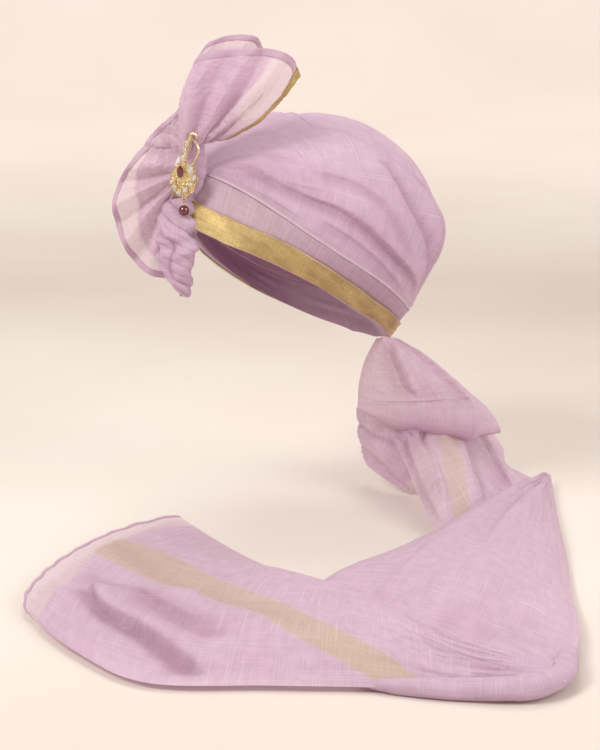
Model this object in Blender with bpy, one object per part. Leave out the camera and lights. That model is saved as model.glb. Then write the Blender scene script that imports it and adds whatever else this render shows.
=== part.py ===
"""A tied turban: wound crown, gold band, fan front with a jewelled brooch, and a long tail.

Metres, +Z up, the wearer faces -Y and the wearer's left is +X. The origin is the middle of the
opening that the head goes in, and the tail comes to rest on the plane TABLE_DROP below it.
"""

import math

import bmesh
import bpy
import numpy as np
from mathutils import Matrix
from mathutils.bvhtree import BVHTree

# Named sizes: clearances and the cloth's own thickness
GAP = 0.0004
CLOTH = 0.0022
REACH = 0.030

# The head opening, the cloth wound round it and the rise of its front edge
HEAD_LONG = 0.099
HEAD_WIDE = 0.084
BRIM_THICK = 0.0088
RIM_LONG = HEAD_LONG + BRIM_THICK
RIM_WIDE = HEAD_WIDE + BRIM_THICK
RIM_RISE = 0.080

BAND_TALL = 0.0215
BAND_THICK = 0.0014

# The crown: heights of its base at the front and the nape, and its size over that base
FRONT_RISE = 0.104
NAPE_DROP = 0.030
CROWN_SIZE = 0.120
CROWN_WALL = 0.014
PLEAT = 0.0058
OVERLAP = 0.0050
POUCH = 0.0160
CROWN_FRONT = (-0.821 * RIM_LONG, FRONT_RISE)
CROWN_BACK = (1.048 * RIM_LONG, -NAPE_DROP)

# The fans spread from a knot in front of the crown, turned towards the wearer's left front
VIEW_TURN = math.radians(45)
AWAY = np.array([-math.sin(VIEW_TURN), math.cos(VIEW_TURN), 0.0])
OUTWARD = np.array([math.cos(VIEW_TURN), math.sin(VIEW_TURN), 0.0])
FAN = 0.100
KNOT_AT = (0.06 * FAN, CROWN_FRONT[0] - 0.025 * FAN, CROWN_FRONT[1] + 0.16 * FAN)

# The tail falls from the rim near the nape to a table this far below the head opening
TABLE_DROP = 0.215
TAIL = 0.100
END_BOW = 0.38
HANG_TURN = math.radians(150)
HANG_AT = (RIM_WIDE * math.sin(HANG_TURN), -RIM_LONG * math.cos(HANG_TURN))
TAIL_UP = (TABLE_DROP - 0.7125 * RIM_RISE) / 1.58

# The brooch pinned over the knot, and the bead that hangs from it
BROOCH = 0.010
BROOCH_YAW = math.radians(24)
BROOCH_AT = (KNOT_AT[0], KNOT_AT[1] - 0.30 * FAN, KNOT_AT[2] - 0.10 * FAN)
PLATE_THICK = 0.0018
SEAT_RISE = 0.0025
CUP_WALL = 0.00075
GIRDLE = 0.00035
STONE_GAP = 0.00012
LUG_WIRE = 0.00040
LINK_WIRE = 0.00035
LINK_PLAY = 0.00020
PIN_THICK = 0.00045
BEAD_HALF = 0.0045
BEAD_CLEAR = 0.00017

# Turn about the head from its front, degrees; height, share of RIM_RISE
RIM = [
    (-180, -0.76), (-150, -0.62), (-120, -0.32), (-90, 0.15), (-60, 0.75), (-35, 0.98),
    (-15, 0.90), (5, 0.76), (27, 0.60), (45, 0.45), (56, 0.33), (68, 0.18), (81, 0.0),
    (93, -0.17), (112, -0.39), (124, -0.55), (150, -0.72), (180, -0.76),
]

# Place along the crown, share; lower edge on the left and on the right, degrees below the base;
# height over the base and half width, shares of CROWN_SIZE
CROWN_FORM = [
    (0.0, 15, -5, 0.30, 0.86), (0.17, 15, -14, 0.54, 0.91), (0.25, 15, -16, 0.67, 0.95),
    (0.33, 14, -11, 0.80, 0.98), (0.5, 11, 0, 1.03, 1.03), (0.67, 10, 3, 1.21, 1.07),
    (0.83, 9, 4, 1.41, 1.08), (1.0, 9, 5, 1.50, 1.00),
]

# Place of a pleat's upper edge, share of the arch from left to right; lift, share of PLEAT
CROWN_PLEATS = [
    (0.055, 0.7), (0.100, 1.0), (0.150, 0.6), (0.205, 0.5), (0.265, 0.6), (0.335, 0.5),
    (0.410, 0.6), (0.490, 0.5), (0.570, 0.6), (0.650, 0.5), (0.730, 0.6), (0.805, 0.7),
    (0.880, 0.8), (0.945, 0.6),
]

# Place along the crown, share; upper edge of the outer wrap, share of the arch
OUTER_WRAP = [
    (0.0, 0.66), (0.10, 0.62), (0.20, 0.53), (0.25, 0.42), (0.33, 0.35), (0.40, 0.25),
    (0.50, 0.185), (0.70, 0.155), (1.0, 0.12),
]

# Fan ribs, shares of FAN: root out, up, fore; tip out, up, fore; bow out, up, fore
UPPER_FAN = [
    (-0.19, -0.01, 0.13, -0.06, 0.81, 0.04, -0.09, 0.00, 0.02),
    (-0.15, 0.03, 0.16, 0.02, 0.87, 0.13, -0.06, 0.00, 0.09),
    (-0.11, 0.06, 0.16, 0.22, 0.89, 0.10, -0.03, 0.00, 0.02),
    (-0.07, 0.09, 0.16, 0.38, 0.90, 0.16, -0.01, -0.01, 0.09),
    (-0.02, 0.11, 0.16, 0.52, 0.90, 0.11, 0.02, -0.03, 0.02),
    (0.03, 0.12, 0.16, 0.66, 0.87, 0.12, 0.05, -0.05, 0.08),
    (0.08, 0.13, 0.14, 0.75, 0.81, 0.05, 0.07, -0.06, 0.05),
    (0.12, 0.14, 0.12, 0.79, 0.71, -0.02, 0.07, -0.07, 0.00),
]
BACK_FAN = [
    (-0.18, 0.06, 0.08, -0.05, 0.82, -0.08, -0.08, 0.00, -0.03),
    (-0.14, 0.09, 0.10, 0.06, 0.95, -0.02, -0.05, 0.00, 0.00),
    (-0.10, 0.12, 0.10, 0.20, 1.00, -0.04, -0.02, 0.00, -0.03),
    (-0.05, 0.14, 0.10, 0.36, 1.01, 0.01, 0.00, 0.00, 0.00),
    (0.00, 0.15, 0.09, 0.45, 0.98, -0.03, 0.02, 0.00, -0.02),
    (0.05, 0.16, 0.07, 0.50, 0.88, -0.06, 0.04, -0.02, -0.03),
]
MID_FAN = [
    (-0.20, 0.16, -0.05, -0.19, 0.42, -0.12, -0.01, 0.02, 0.00),
    (-0.22, 0.12, -0.03, -0.32, 0.31, -0.02, -0.01, 0.02, 0.04),
    (-0.23, 0.08, -0.04, -0.43, 0.20, -0.10, -0.01, 0.02, 0.00),
    (-0.24, 0.04, -0.03, -0.51, 0.10, -0.02, 0.00, 0.02, 0.05),
    (-0.24, -0.01, -0.05, -0.51, 0.00, -0.08, 0.00, 0.02, 0.00),
]
LOWER_FAN = [
    (-0.26, -0.05, 0.03, -0.52, 0.04, 0.00, 0.00, 0.02, 0.00),
    (-0.27, -0.09, 0.05, -0.66, -0.09, 0.05, -0.01, 0.01, 0.05),
    (-0.28, -0.13, 0.03, -0.75, -0.25, -0.08, -0.01, 0.01, 0.00),
    (-0.29, -0.17, 0.04, -0.79, -0.42, 0.04, -0.02, 0.01, 0.08),
    (-0.30, -0.21, 0.03, -0.77, -0.59, -0.08, -0.02, 0.00, 0.00),
    (-0.30, -0.25, 0.04, -0.71, -0.75, 0.04, -0.02, 0.00, 0.07),
    (-0.30, -0.29, 0.03, -0.63, -0.90, -0.06, -0.02, 0.00, 0.00),
    (-0.29, -0.33, 0.03, -0.49, -1.01, 0.02, -0.02, -0.01, 0.03),
    (-0.27, -0.37, 0.02, -0.31, -1.06, -0.04, -0.02, -0.01, -0.02),
]

# Hanging twist, shares of FAN: out, up, fore of its middle; half width, half depth; turn, degrees
TWIST = [
    (0.00, -0.20, -0.60, 0.12, 0.09, 0.05, 0),
    (0.10, -0.21, -0.63, 0.13, 0.13, 0.07, 30),
    (0.28, -0.22, -0.73, 0.14, 0.16, 0.09, 90),
    (0.50, -0.24, -0.86, 0.14, 0.15, 0.09, 150),
    (0.70, -0.23, -0.99, 0.13, 0.115, 0.08, 210),
    (0.85, -0.21, -1.10, 0.12, 0.085, 0.06, 260),
    (1.00, -0.17, -1.23, 0.11, 0.030, 0.025, 300),
]

# Tail sections in the tail's own frame: right and away are shares of TAIL, up from the table is
# a share of TAIL_UP; place, then the first edge, the second edge, and the swell between them
FALL = [
    (0.00, 0.70, 0.02, 1.58, 0.79, 0.60, 1.465, 0.02),
    (0.22, 0.60, 0.10, 1.36, 1.13, 0.82, 1.23, 0.14),
    (0.44, 0.55, 0.15, 1.14, 1.50, 0.96, 0.95, 0.22),
    (0.66, 0.54, 0.18, 0.98, 1.82, 1.02, 0.68, 0.22),
    (0.90, 0.55, 0.18, 0.86, 1.97, 1.00, 0.45, 0.14),
    (1.00, 0.59, 0.25, 0.83, 1.97, 1.08, 0.40, 0.08),
]
BACK = [
    (0.00, 0.86, 0.70, 0.765, 1.76, 1.46, 0.40, 0.02),
    (0.22, 0.89, 0.40, 0.55, 1.87, 1.24, 0.21, 0.04),
    (0.55, 1.00, -0.20, 0.36, 2.04, 0.94, 0.08, 0.13),
    (0.85, 1.18, -1.06, 0.10, 2.24, 0.62, 0.05, 0.08),
    (1.00, 1.32, -1.34, 0.045, 2.36, 0.34, 0.045, 0.01),
]
PANEL = [
    (0.00, 2.34, 0.58, 0.14, 2.42, 0.60, 0.10, 0.00),
    (0.12, 2.12, 0.16, 0.17, 2.39, 0.14, 0.05, 0.06),
    (0.30, 1.70, -0.54, 0.17, 2.32, -0.70, 0.05, 0.17),
    (0.50, 1.24, -1.22, 0.16, 2.26, -1.65, 0.05, 0.24),
    (0.70, 0.78, -1.80, 0.14, 2.17, -2.60, 0.05, 0.25),
    (0.88, 0.30, -2.36, 0.10, 2.06, -3.70, 0.05, 0.18),
    (1.00, -0.02, -2.90, 0.05, 1.84, -4.54, 0.05, 0.01),
]
RUN = [
    (0.00, -1.10, -0.52, 0.05, -2.07, -3.00, 0.05, 0.05),
    (0.18, -0.77, -1.14, 0.05, -1.68, -3.74, 0.05, 0.13),
    (0.36, -0.40, -1.76, 0.06, -1.10, -4.36, 0.05, 0.20),
    (0.54, 0.07, -2.64, 0.17, -0.20, -4.42, 0.05, 0.26),
    (0.72, 0.62, -3.50, 0.25, 0.60, -4.46, 0.05, 0.22),
    (0.86, 1.14, -4.06, 0.26, 1.16, -4.54, 0.05, 0.12),
    (1.00, 1.80, -4.30, 0.18, 1.72, -4.56, 0.14, 0.03),
]

# Folds on a tail piece: across at its start and its end, lift as a share of TAIL, half width,
# and the stretch that it runs over
FALL_FOLDS = [
    (0.30, 0.22, 0.050, 0.06, 0.05, 1.0),
    (0.55, 0.50, 0.045, 0.07, 0.10, 0.9),
    (0.78, 0.74, 0.050, 0.06, 0.05, 1.0),
]
BACK_FOLDS = [
    (0.18, 0.10, 0.060, 0.05, 0.00, 0.8),
    (0.40, 0.36, 0.040, 0.06, 0.00, 0.9),
    (0.72, 0.78, 0.060, 0.07, 0.10, 1.0),
]
PANEL_FOLDS = [
    (0.20, 0.30, 0.030, 0.09, 0.10, 0.8),
    (0.62, 0.55, 0.035, 0.10, 0.30, 1.0),
]
RUN_FOLDS = [
    (0.80, 0.52, 0.055, 0.07, 0.06, 0.42),
    (0.62, 0.86, 0.045, 0.08, 0.30, 0.66),
    (0.16, 0.20, 0.020, 0.08, 0.10, 0.9),
]

# Brooch stones: name, then across, up, half width and half height as shares of BROOCH; sides
STONES = [
    ("ruby_drop", 0.00, -0.10, 0.30, 0.54, 12),
    ("kundan_leaf", 0.93, 0.06, 0.27, 0.35, 10),
    ("kundan_side_1", 1.20, -0.64, 0.19, 0.19, 8),
    ("kundan_side_2", 0.94, -1.16, 0.19, 0.19, 8),
    ("kundan_foot_1", 0.44, -1.64, 0.21, 0.21, 8),
    ("kundan_foot_2", -0.12, -1.86, 0.20, 0.20, 8),
    ("kundan_side_3", -0.54, -1.46, 0.19, 0.19, 8),
    ("kundan_side_4", -0.76, -0.94, 0.18, 0.18, 8),
    ("kundan_stem_1", 0.26, 1.02, 0.21, 0.26, 8),
    ("kundan_stem_2", 0.47, 1.70, 0.18, 0.23, 8),
    ("kundan_stem_3", 0.70, 2.32, 0.15, 0.20, 8),
]

# Bars of the brooch: place, then across, up, fore and radius as shares of BROOCH
STEM = [
    (0.00, 0.20, 0.40, 0.00, 0.22), (0.30, 0.40, 1.50, 0.02, 0.20), (0.55, 0.72, 2.50, 0.04, 0.18),
    (0.72, 0.98, 3.10, 0.08, 0.17), (0.86, 1.34, 3.12, 0.12, 0.13), (1.00, 1.56, 2.72, 0.16, 0.05),
]
CLIP = [
    (0.00, 0.90, 2.80, 0.04, 0.09), (0.30, 1.50, 2.34, 0.30, 0.10), (0.60, 1.74, 1.65, 0.36, 0.10),
    (0.82, 1.40, 0.96, 0.24, 0.10), (1.00, 0.96, 0.40, 0.02, 0.09),
]

# Bead outline from its top round to its foot: radius and height, shares of BEAD_HALF
BEAD = [
    (0.53, 1.06), (0.87, 0.71), (1.00, 0.18), (1.00, -0.22), (0.87, -0.71), (0.53, -1.06),
]
# Rings that carry the bead, each radius and the lug's place as shares of BROOCH
LUG_AT = (0.16, -2.32)
LUG_RING = 0.16
LINK_RING = 0.17
PIN_RING = 0.115

COLOURS = {
    "lilac": ((0.62, 0.38, 0.58), 0.85, 0.0),
    "lilac_sheer": ((0.68, 0.45, 0.63), 0.85, 0.0),
    "zari": ((0.52, 0.36, 0.12), 0.42, 0.85),
    "gold": ((0.80, 0.56, 0.22), 0.25, 1.0),
    "ruby": ((0.35, 0.01, 0.03), 0.08, 0.0),
    "kundan": ((0.85, 0.84, 0.80), 0.06, 0.0),
}


def clear_scene():
    for thing in list(bpy.data.objects):
        bpy.data.objects.remove(thing, do_unlink=True)


def spline(rows, at):
    """Smooth values from a table whose first column is the place along it."""
    table = np.asarray(rows, float)
    at = np.asarray(at, float)
    places = table[:, 0]
    slopes = np.gradient(table[:, 1:], places, axis=0)
    i = np.clip(np.searchsorted(places, at, side="right") - 1, 0, len(places) - 2)
    step = (places[i + 1] - places[i])[..., None]
    t = (at - places[i])[..., None] / step
    low = table[i, 1:]
    high = table[i + 1, 1:]
    ease = t * t * (3 - 2 * t)
    lean = t * (1 - t) * step
    return low + (high - low) * ease + lean * ((1 - t) * slopes[i] - t * slopes[i + 1])


def smooth(x):
    x = np.clip(x, 0.0, 1.0)
    return x * x * (3 - 2 * x)


def unit(vectors):
    size = np.linalg.norm(vectors, axis=-1, keepdims=True)
    return vectors / np.maximum(size, 1e-9)


def grid_normals(grid):
    along = np.gradient(grid, axis=0)
    across = np.gradient(grid, axis=1)
    return unit(np.cross(along, across))


def material(name):
    made = bpy.data.materials.get(name)
    if made is None:
        made = bpy.data.materials.new(name)
        made.use_nodes = True
        colour, roughness, metallic = COLOURS[name]
        shader = made.node_tree.nodes["Principled BSDF"]
        shader.inputs["Base Color"].default_value = (*colour, 1)
        shader.inputs["Roughness"].default_value = roughness
        shader.inputs["Metallic"].default_value = metallic
    return made


def make_solid(name, points, faces, colour, flat=False):
    """A closed mesh object; points that coincide are merged and its faces turned outwards."""
    mesh = bmesh.new()
    corners = [mesh.verts.new(p) for p in points]
    for face in faces:
        mesh.faces.new([corners[i] for i in face])
    bmesh.ops.remove_doubles(mesh, verts=mesh.verts[:], dist=2e-6)
    bmesh.ops.recalc_face_normals(mesh, faces=mesh.faces[:])
    if mesh.calc_volume(signed=True) < 0:
        bmesh.ops.reverse_faces(mesh, faces=mesh.faces[:])
    for face in mesh.faces:
        face.smooth = not flat
    data = bpy.data.meshes.new(name)
    mesh.to_mesh(data)
    mesh.free()
    data.materials.append(material(colour))
    made = bpy.data.objects.new(name, data)
    bpy.context.scene.collection.objects.link(made)
    return made


def grid_faces(rows, columns, start, turned=False):
    faces = []
    for i in range(rows - 1):
        for j in range(columns - 1):
            a = start + i * columns + j
            face = [a, a + columns, a + columns + 1, a + 1]
            faces.append(face[::-1] if turned else face)
    return faces


def wall(name, outer, inner, colour):
    """A closed wall between two grids with the same rows; unequal columns need closed ends."""
    rows, wide, slim = outer.shape[0], outer.shape[1], inner.shape[1]
    start = rows * wide
    faces = grid_faces(rows, wide, 0) + grid_faces(rows, slim, start, True)
    for i in range(rows - 1):
        for j, k in ((0, 0), (wide - 1, slim - 1)):
            a, b = i * wide + j, start + i * slim + k
            face = [a, a + wide, b + slim, b]
            faces.append(face if j else face[::-1])
    if wide == slim:
        for j in range(wide - 1):
            for i in (0, rows - 1):
                a, b = i * wide + j, start + i * slim + j
                face = [a, a + 1, b + 1, b]
                faces.append(face if not i else face[::-1])
    points = np.concatenate([outer.reshape(-1, 3), inner.reshape(-1, 3)])
    return make_solid(name, points, faces, colour)


def sheet(name, grid, colour, thick=CLOTH):
    """Cloth of even thickness about a grid."""
    offset = grid_normals(grid) * (thick / 2)
    return wall(name, grid + offset, grid - offset, colour)


def surface_of(things):
    """Points all over some objects, with a tree of their faces to cast rays at."""
    points, faces, middles = [], [], []
    for thing in things:
        start = len(points)
        points += [tuple(v.co) for v in thing.data.vertices]
        faces += [[start + i for i in f.vertices] for f in thing.data.polygons]
        middles += [(start + e.vertices[0], start + e.vertices[1]) for e in thing.data.edges]
    ends = np.array(points)[np.array(middles)]
    return np.concatenate([points, ends.mean(axis=1)]), BVHTree.FromPolygons(points, faces)


def finer(grid):
    """The grid with a point halfway between each two neighbours."""
    for axis in (0, 1):
        places = np.arange(1, grid.shape[axis])
        middle = (np.take(grid, places, axis) + np.take(grid, places - 1, axis)) / 2
        grid = np.insert(grid, places, middle, axis=axis)
    return grid


def free_way(points, target, direction):
    """How far each point can go along a direction before it meets the target's faces."""
    ways = []
    for point in points:
        place, _, _, far = target.ray_cast(tuple(point - REACH * direction), tuple(direction))
        ways.append(np.inf if place is None else far - REACH)
    return np.array(ways)


def seat_grid(grid, carriers, direction, weight=1.0, gap=2.5 * GAP):
    """Moves a cloth's rows, each by its weight, along a direction until it lies a gap off its seat."""
    share = np.broadcast_to(np.reshape(weight, (-1, 1, 1)), (*grid.shape[:2], 1))
    offset = grid_normals(grid) * (CLOTH / 2)
    sides = [finer(grid + offset), finer(grid - offset)]
    skin = np.concatenate([side.reshape(-1, 3) for side in sides])
    shares = finer(share).reshape(-1)
    points, target = surface_of(carriers)
    faces = grid_faces(*sides[0].shape[:2], 0) + grid_faces(*sides[0].shape[:2], len(skin) // 2)
    back = free_way(points, BVHTree.FromPolygons(skin.tolist(), faces), -direction)
    near = [np.argmin(np.sum((skin - point) ** 2, axis=1)) for point in points]
    ways = np.concatenate([free_way(skin, target, direction), back])
    loads = np.concatenate([shares, shares, np.concatenate([shares, shares])[near]])
    held = (loads > 0.3) & np.isfinite(ways)
    move = np.min((ways[held] - gap) / loads[held]) if held.any() else 0.0
    return grid + direction * (move * share)


def seat_things(things, carriers, direction):
    """Moves objects together along a direction until they lie GAP off their seat."""
    points, tree = surface_of(things)
    others, target = surface_of(carriers)
    ways = np.concatenate([free_way(points, target, direction), free_way(others, tree, -direction)])
    shift = direction * (np.min(ways) - GAP)
    for thing in things:
        thing.data.transform(Matrix.Translation(shift.tolist()))


def hoop(name, grid, colour):
    """A closed ring: rows run round the head and columns round its section."""
    rows, columns = grid.shape[:2]
    faces = []
    for i in range(rows):
        for j in range(columns):
            k = (i + 1) % rows
            m = (j + 1) % columns
            faces.append([i * columns + j, k * columns + j, k * columns + m, i * columns + m])
    return make_solid(name, grid.reshape(-1, 3), faces, colour)


def tube(name, grid, colour):
    """A closed roll: rows run along it and columns round it."""
    rows, columns = grid.shape[:2]
    faces = []
    for i in range(rows - 1):
        for j in range(columns):
            k = (j + 1) % columns
            faces.append([i * columns + j, (i + 1) * columns + j, (i + 1) * columns + k, i * columns + k])
    faces.append(list(range(columns)))
    faces.append([(rows - 1) * columns + j for j in range(columns)][::-1])
    return make_solid(name, grid.reshape(-1, 3), faces, colour)


BASE_MID = np.array([0.0, (CROWN_FRONT[0] + CROWN_BACK[0]) / 2, (CROWN_FRONT[1] + CROWN_BACK[1]) / 2])
BASE_SPAN = np.array([0.0, CROWN_BACK[0] - CROWN_FRONT[0], CROWN_BACK[1] - CROWN_FRONT[1]])
HALF_SPAN = float(np.linalg.norm(BASE_SPAN)) / 2
ALONG = BASE_SPAN / (2 * HALF_SPAN)
SIDE = np.array([1.0, 0.0, 0.0])
RAISE = np.cross(SIDE, ALONG)


def crown_point(place, share, lift=0.0, wall_in=0.0):
    """A point along the crown from front to back and over it from left to right."""
    form = spline(CROWN_FORM, place)
    left, right = np.radians(form[..., 0]), np.radians(form[..., 1])
    u = np.pi * place
    v = -left + share * (np.pi + right + left)
    tall = CROWN_SIZE * form[..., 2] + lift - wall_in
    side = CROWN_SIZE * form[..., 3] + lift - wall_in
    half = HALF_SPAN - wall_in
    out = np.sin(u)
    return (
        BASE_MID
        - (half * np.cos(u))[..., None] * ALONG
        + (out * np.cos(v) * side)[..., None] * SIDE
        + (out * np.sin(v) * tall)[..., None] * RAISE
    )


def pleat_lift(place, share):
    """Each pleat rises to its upper edge and drops under the next one; the cloth pouches behind."""
    edges = np.array([0.0] + [row[0] for row in CROWN_PLEATS] + [1.0])
    lifts = np.array([0.0] + [row[1] for row in CROWN_PLEATS] + [0.4])
    i = np.clip(np.searchsorted(edges, share, side="right"), 1, len(edges) - 1)
    rise = (share - edges[i - 1]) / (edges[i] - edges[i - 1])
    rolled = OVERLAP * smooth((spline(OUTER_WRAP, place)[..., 0] - share) / 0.05 + 0.5)
    fade = np.sin(np.pi * place) ** 0.8
    pouch = POUCH * np.exp(-((place - 0.67) / 0.10) ** 2 - ((share - 0.16) / 0.065) ** 2)
    return fade * (PLEAT * lifts[i] * rise ** 1.5 + rolled) + pouch


def crown_stations():
    edges = [row[0] for row in CROWN_PLEATS]
    stops = [0.0] + edges + [1.0]
    middles = [(a + b) / 2 for a, b in zip(stops, stops[1:])]
    sides = [e - 0.004 for e in edges] + [e + 0.004 for e in edges]
    return np.array(sorted([0.0, 1.0] + middles + sides))


def crown_edge_loop(places, wall_in):
    """The crown's lower edge, front to back on the left and back to front on the right."""
    left = crown_point(places, np.zeros_like(places), pleat_lift(places, 0 * places), wall_in)
    ones = np.ones_like(places)
    right = crown_point(places, ones, pleat_lift(places, ones), wall_in)
    return np.concatenate([left, right[-2:0:-1]])


def rim_loop(places, wide, long):
    """The turban's lower edge, taken at the same places as crown_edge_loop."""
    turns = np.concatenate([np.pi * places, -np.pi * places[-2:0:-1]])
    height = RIM_RISE * spline(RIM, np.degrees(turns))[..., 0]
    return np.stack([wide * np.sin(turns), -long * np.cos(turns), height], axis=-1)


def crown_places():
    return (1 - np.cos(np.linspace(0, np.pi, 25))) / 2 * 0.35 + np.linspace(0, 1, 25) * 0.65


def build_crown():
    places = crown_places()
    p, s = np.meshgrid(places, crown_stations(), indexing="ij")
    outer = crown_point(p, s, pleat_lift(p, s))
    p, s = np.meshgrid(places, np.linspace(0, 1, 10), indexing="ij")
    inner = crown_point(p, s, 0.0, CROWN_WALL)
    return wall("crown_wrap", outer, inner, "lilac")


def build_rim_and_band():
    places = crown_places()
    drop = RAISE * GAP * 1.3
    top = crown_edge_loop(places, 0.0) - drop
    top_in = crown_edge_loop(places, CROWN_WALL) - drop
    bottom = rim_loop(places, RIM_WIDE, RIM_LONG)
    bottom_in = rim_loop(places, HEAD_WIDE, HEAD_LONG)
    middle = bottom + (top - bottom) * 0.5
    brim = hoop("brim_wrap", np.stack([bottom, middle, top, top_in, bottom_in], axis=1), "lilac")
    rise = unit(top - bottom)
    round_ = unit(np.roll(bottom, -1, axis=0) - np.roll(bottom, 1, axis=0))
    out = unit(np.cross(round_, rise))
    out *= np.sign(np.sum(out * bottom * [1, 1, 0], axis=-1, keepdims=True))
    low = bottom + out * GAP * 1.5 + rise * 0.0002
    high = low + rise * BAND_TALL
    hem = out * BAND_THICK
    middle = (low + high) / 2 + hem * 1.15
    band = hoop("gold_band", np.stack([low, high, high + hem, middle, low + hem], axis=1), "zari")
    return [brim, band]


def from_knot(out, up, fore):
    """A point seen from the left front: out to its right, up, and fore towards it."""
    c, s = math.cos(VIEW_TURN), math.sin(VIEW_TURN)
    x = KNOT_AT[0] + c * out + s * fore
    y = KNOT_AT[1] + s * out - c * fore
    return np.stack([x, y, KNOT_AT[2] + up], axis=-1)


def fan_grid(ribs, columns, rows):
    """Ribs interpolated across the fan; each one bows between its root and its tip."""
    table = [(i / (len(ribs) - 1), *row) for i, row in enumerate(ribs)]
    across = spline(table, np.linspace(0, 1, columns)) * FAN
    r = np.linspace(0, 1, rows)[:, None, None]
    root, tip, bow = across[:, 0:3], across[:, 3:6], across[:, 6:9]
    place = root + (tip - root) * r + 4 * r * (1 - r) * bow
    return from_knot(place[..., 0], place[..., 1], place[..., 2])


def build_fans(worn):
    """The upper fans rest on what is behind them, and the side fans' roots reach the knot."""
    mid = seat_grid(fan_grid(MID_FAN, 12, 6), worn, OUTWARD, np.linspace(1, 0, 6))
    fans = [sheet("mid_fan", mid, "lilac_sheer")]
    lower = seat_grid(fan_grid(LOWER_FAN, 21, 8), worn, OUTWARD, np.linspace(1, 0, 8), 3.4 * GAP)
    fans.append(sheet("lower_fan", lower, "lilac_sheer"))
    back = seat_grid(fan_grid(BACK_FAN, 13, 7), worn, AWAY)
    fans.append(sheet("upper_fan_back", back, "lilac_sheer"))
    front = seat_grid(fan_grid(UPPER_FAN, 20, 8), worn + fans, AWAY)
    fans.append(sheet("upper_fan_front", front[:, :-1], "lilac_sheer"))
    build_fan_border(front)
    return fans


def build_fan_border(grid):
    """The gold strip on the upper fan's right edge: it carries the last ribs on by a gap."""
    edge = grid[:, -1]
    step = unit(grid[:, -1] - grid[:, -2])
    first = grid[:, -2] + step * GAP * 1.5
    last = edge + step * 0.001
    sheet("fan_border", np.stack([first, (first + last) / 2, last], axis=1), "zari", CLOTH * 0.8)


def build_twist():
    places = np.linspace(0, 1, 15)
    row = spline(TWIST, places)
    a = np.linspace(0, 2 * math.pi, 15, endpoint=False)
    turn = np.radians(row[:, 5])[:, None]
    bulge = 1 + 0.16 * np.cos(3 * (a + turn))
    out = row[:, 0:1] + row[:, 3:4] * np.cos(a) * bulge
    fore = row[:, 2:3] + row[:, 4:5] * np.sin(a) * bulge
    up = row[:, 1:2] + 0 * a
    tube("hanging_twist", from_knot(out * FAN, up * FAN, fore * FAN), "lilac")


def build_knot():
    """A pleated lump that gathers the wraps between the crown and the fans."""
    places = np.linspace(0.04, 0.96, 11)
    a = np.linspace(0, 2 * math.pi, 16, endpoint=False)
    swell = np.sin(math.pi * places)[:, None] ** 0.6
    ridge = 1 + 0.10 * np.cos(6 * a)
    out = -0.08 + 0.15 * np.cos(a) * swell * ridge
    fore = (0.062 - 0.030 * places)[:, None] + 0.045 * np.sin(a) * swell
    up = (-0.34 + 0.58 * places)[:, None] + 0.0 * a
    return tube("front_knot", from_knot(out * FAN, up * FAN, fore * FAN), "lilac")


def tail_frame(points):
    """Turns the tail's own frame (right, away, up from the table), in shares, into the turban's."""
    c, s = math.cos(VIEW_TURN), math.sin(VIEW_TURN)
    right, away = points[..., 0] * TAIL, points[..., 1] * TAIL
    x = HANG_AT[0] - 0.464 * TAIL + c * right - s * away
    y = HANG_AT[1] - 0.649 * TAIL + s * right + c * away
    return np.stack([x, y, points[..., 2] * TAIL_UP - TABLE_DROP], axis=-1)


def fold_lift(folds, place, across):
    lift = np.zeros_like(across)
    for start, end, rise, half, begin, stop in folds:
        middle = start + (end - start) * (place - begin) / (stop - begin)
        window = smooth((place - begin) / 0.12 + 0.5) * smooth((stop - place) / 0.12 + 0.5)
        lift += rise * window * np.exp(-(((across - middle) / half) ** 2))
    return lift


def tail_grid(rows, folds, length, width, bow=0.0):
    """The cloth between its two edges, its first end bowed, and its rise over them."""
    place, across = np.meshgrid(np.linspace(0, 1, length), np.linspace(0, 1, width), indexing="ij")
    row = spline(rows, place)
    grid = row[..., 0:3] + (row[..., 3:6] - row[..., 0:3]) * across[..., None]
    grid[..., 0] -= bow * (4 * across * (1 - across)) ** 0.6 * (1 - smooth(place / 0.5))
    arch = 1 - np.abs(2 * across - 1) ** 2.6
    rise = row[..., 6] * arch + fold_lift(folds, place, across) * np.minimum(arch * 2, 1)
    return grid, rise


def laid_piece(rows, folds, length, width, bow=0.0):
    """A cloth laid on the table, raised by its swell and folds."""
    grid, rise = tail_grid(rows, folds, length, width, bow)
    grid[..., 2] += rise
    return tail_frame(grid)


def hung_piece(rows, folds, length, width):
    """A cloth that hangs, pushed out by its swell and folds along its own face."""
    grid, rise = tail_grid(rows, folds, length, width)
    out = grid_normals(grid)
    out *= np.sign(out[..., 2:3] + 1e-9)
    return tail_frame(grid + out * rise[..., None])


def build_tail():
    """The fall from the nape, the layer behind it, and the two lengths laid on the table."""
    up = np.array([0.0, 0.0, 1.0])
    fall = sheet("tail_fall", hung_piece(FALL, FALL_FOLDS, 14, 13), "lilac")
    run = sheet("front_run", laid_piece(RUN, RUN_FOLDS, 20, 14, END_BOW), "lilac")
    grid = laid_piece(PANEL, PANEL_FOLDS, 18, 12)
    grid = seat_grid(grid, [run], up, smooth((np.linspace(0, 1, 18) - 0.6) / 0.4))
    panel = sheet("tail_panel", grid, "lilac")
    grid = hung_piece(BACK, BACK_FOLDS, 12, 13)
    places = np.linspace(0, 1, 12)
    grid = seat_grid(grid, [panel], up, smooth((places - 0.45) / 0.4))
    grid = seat_grid(grid, [fall], -AWAY, smooth(1.1 - places / 0.5), 4.5 * GAP)
    sheet("tail_back", grid, "lilac")


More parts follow.
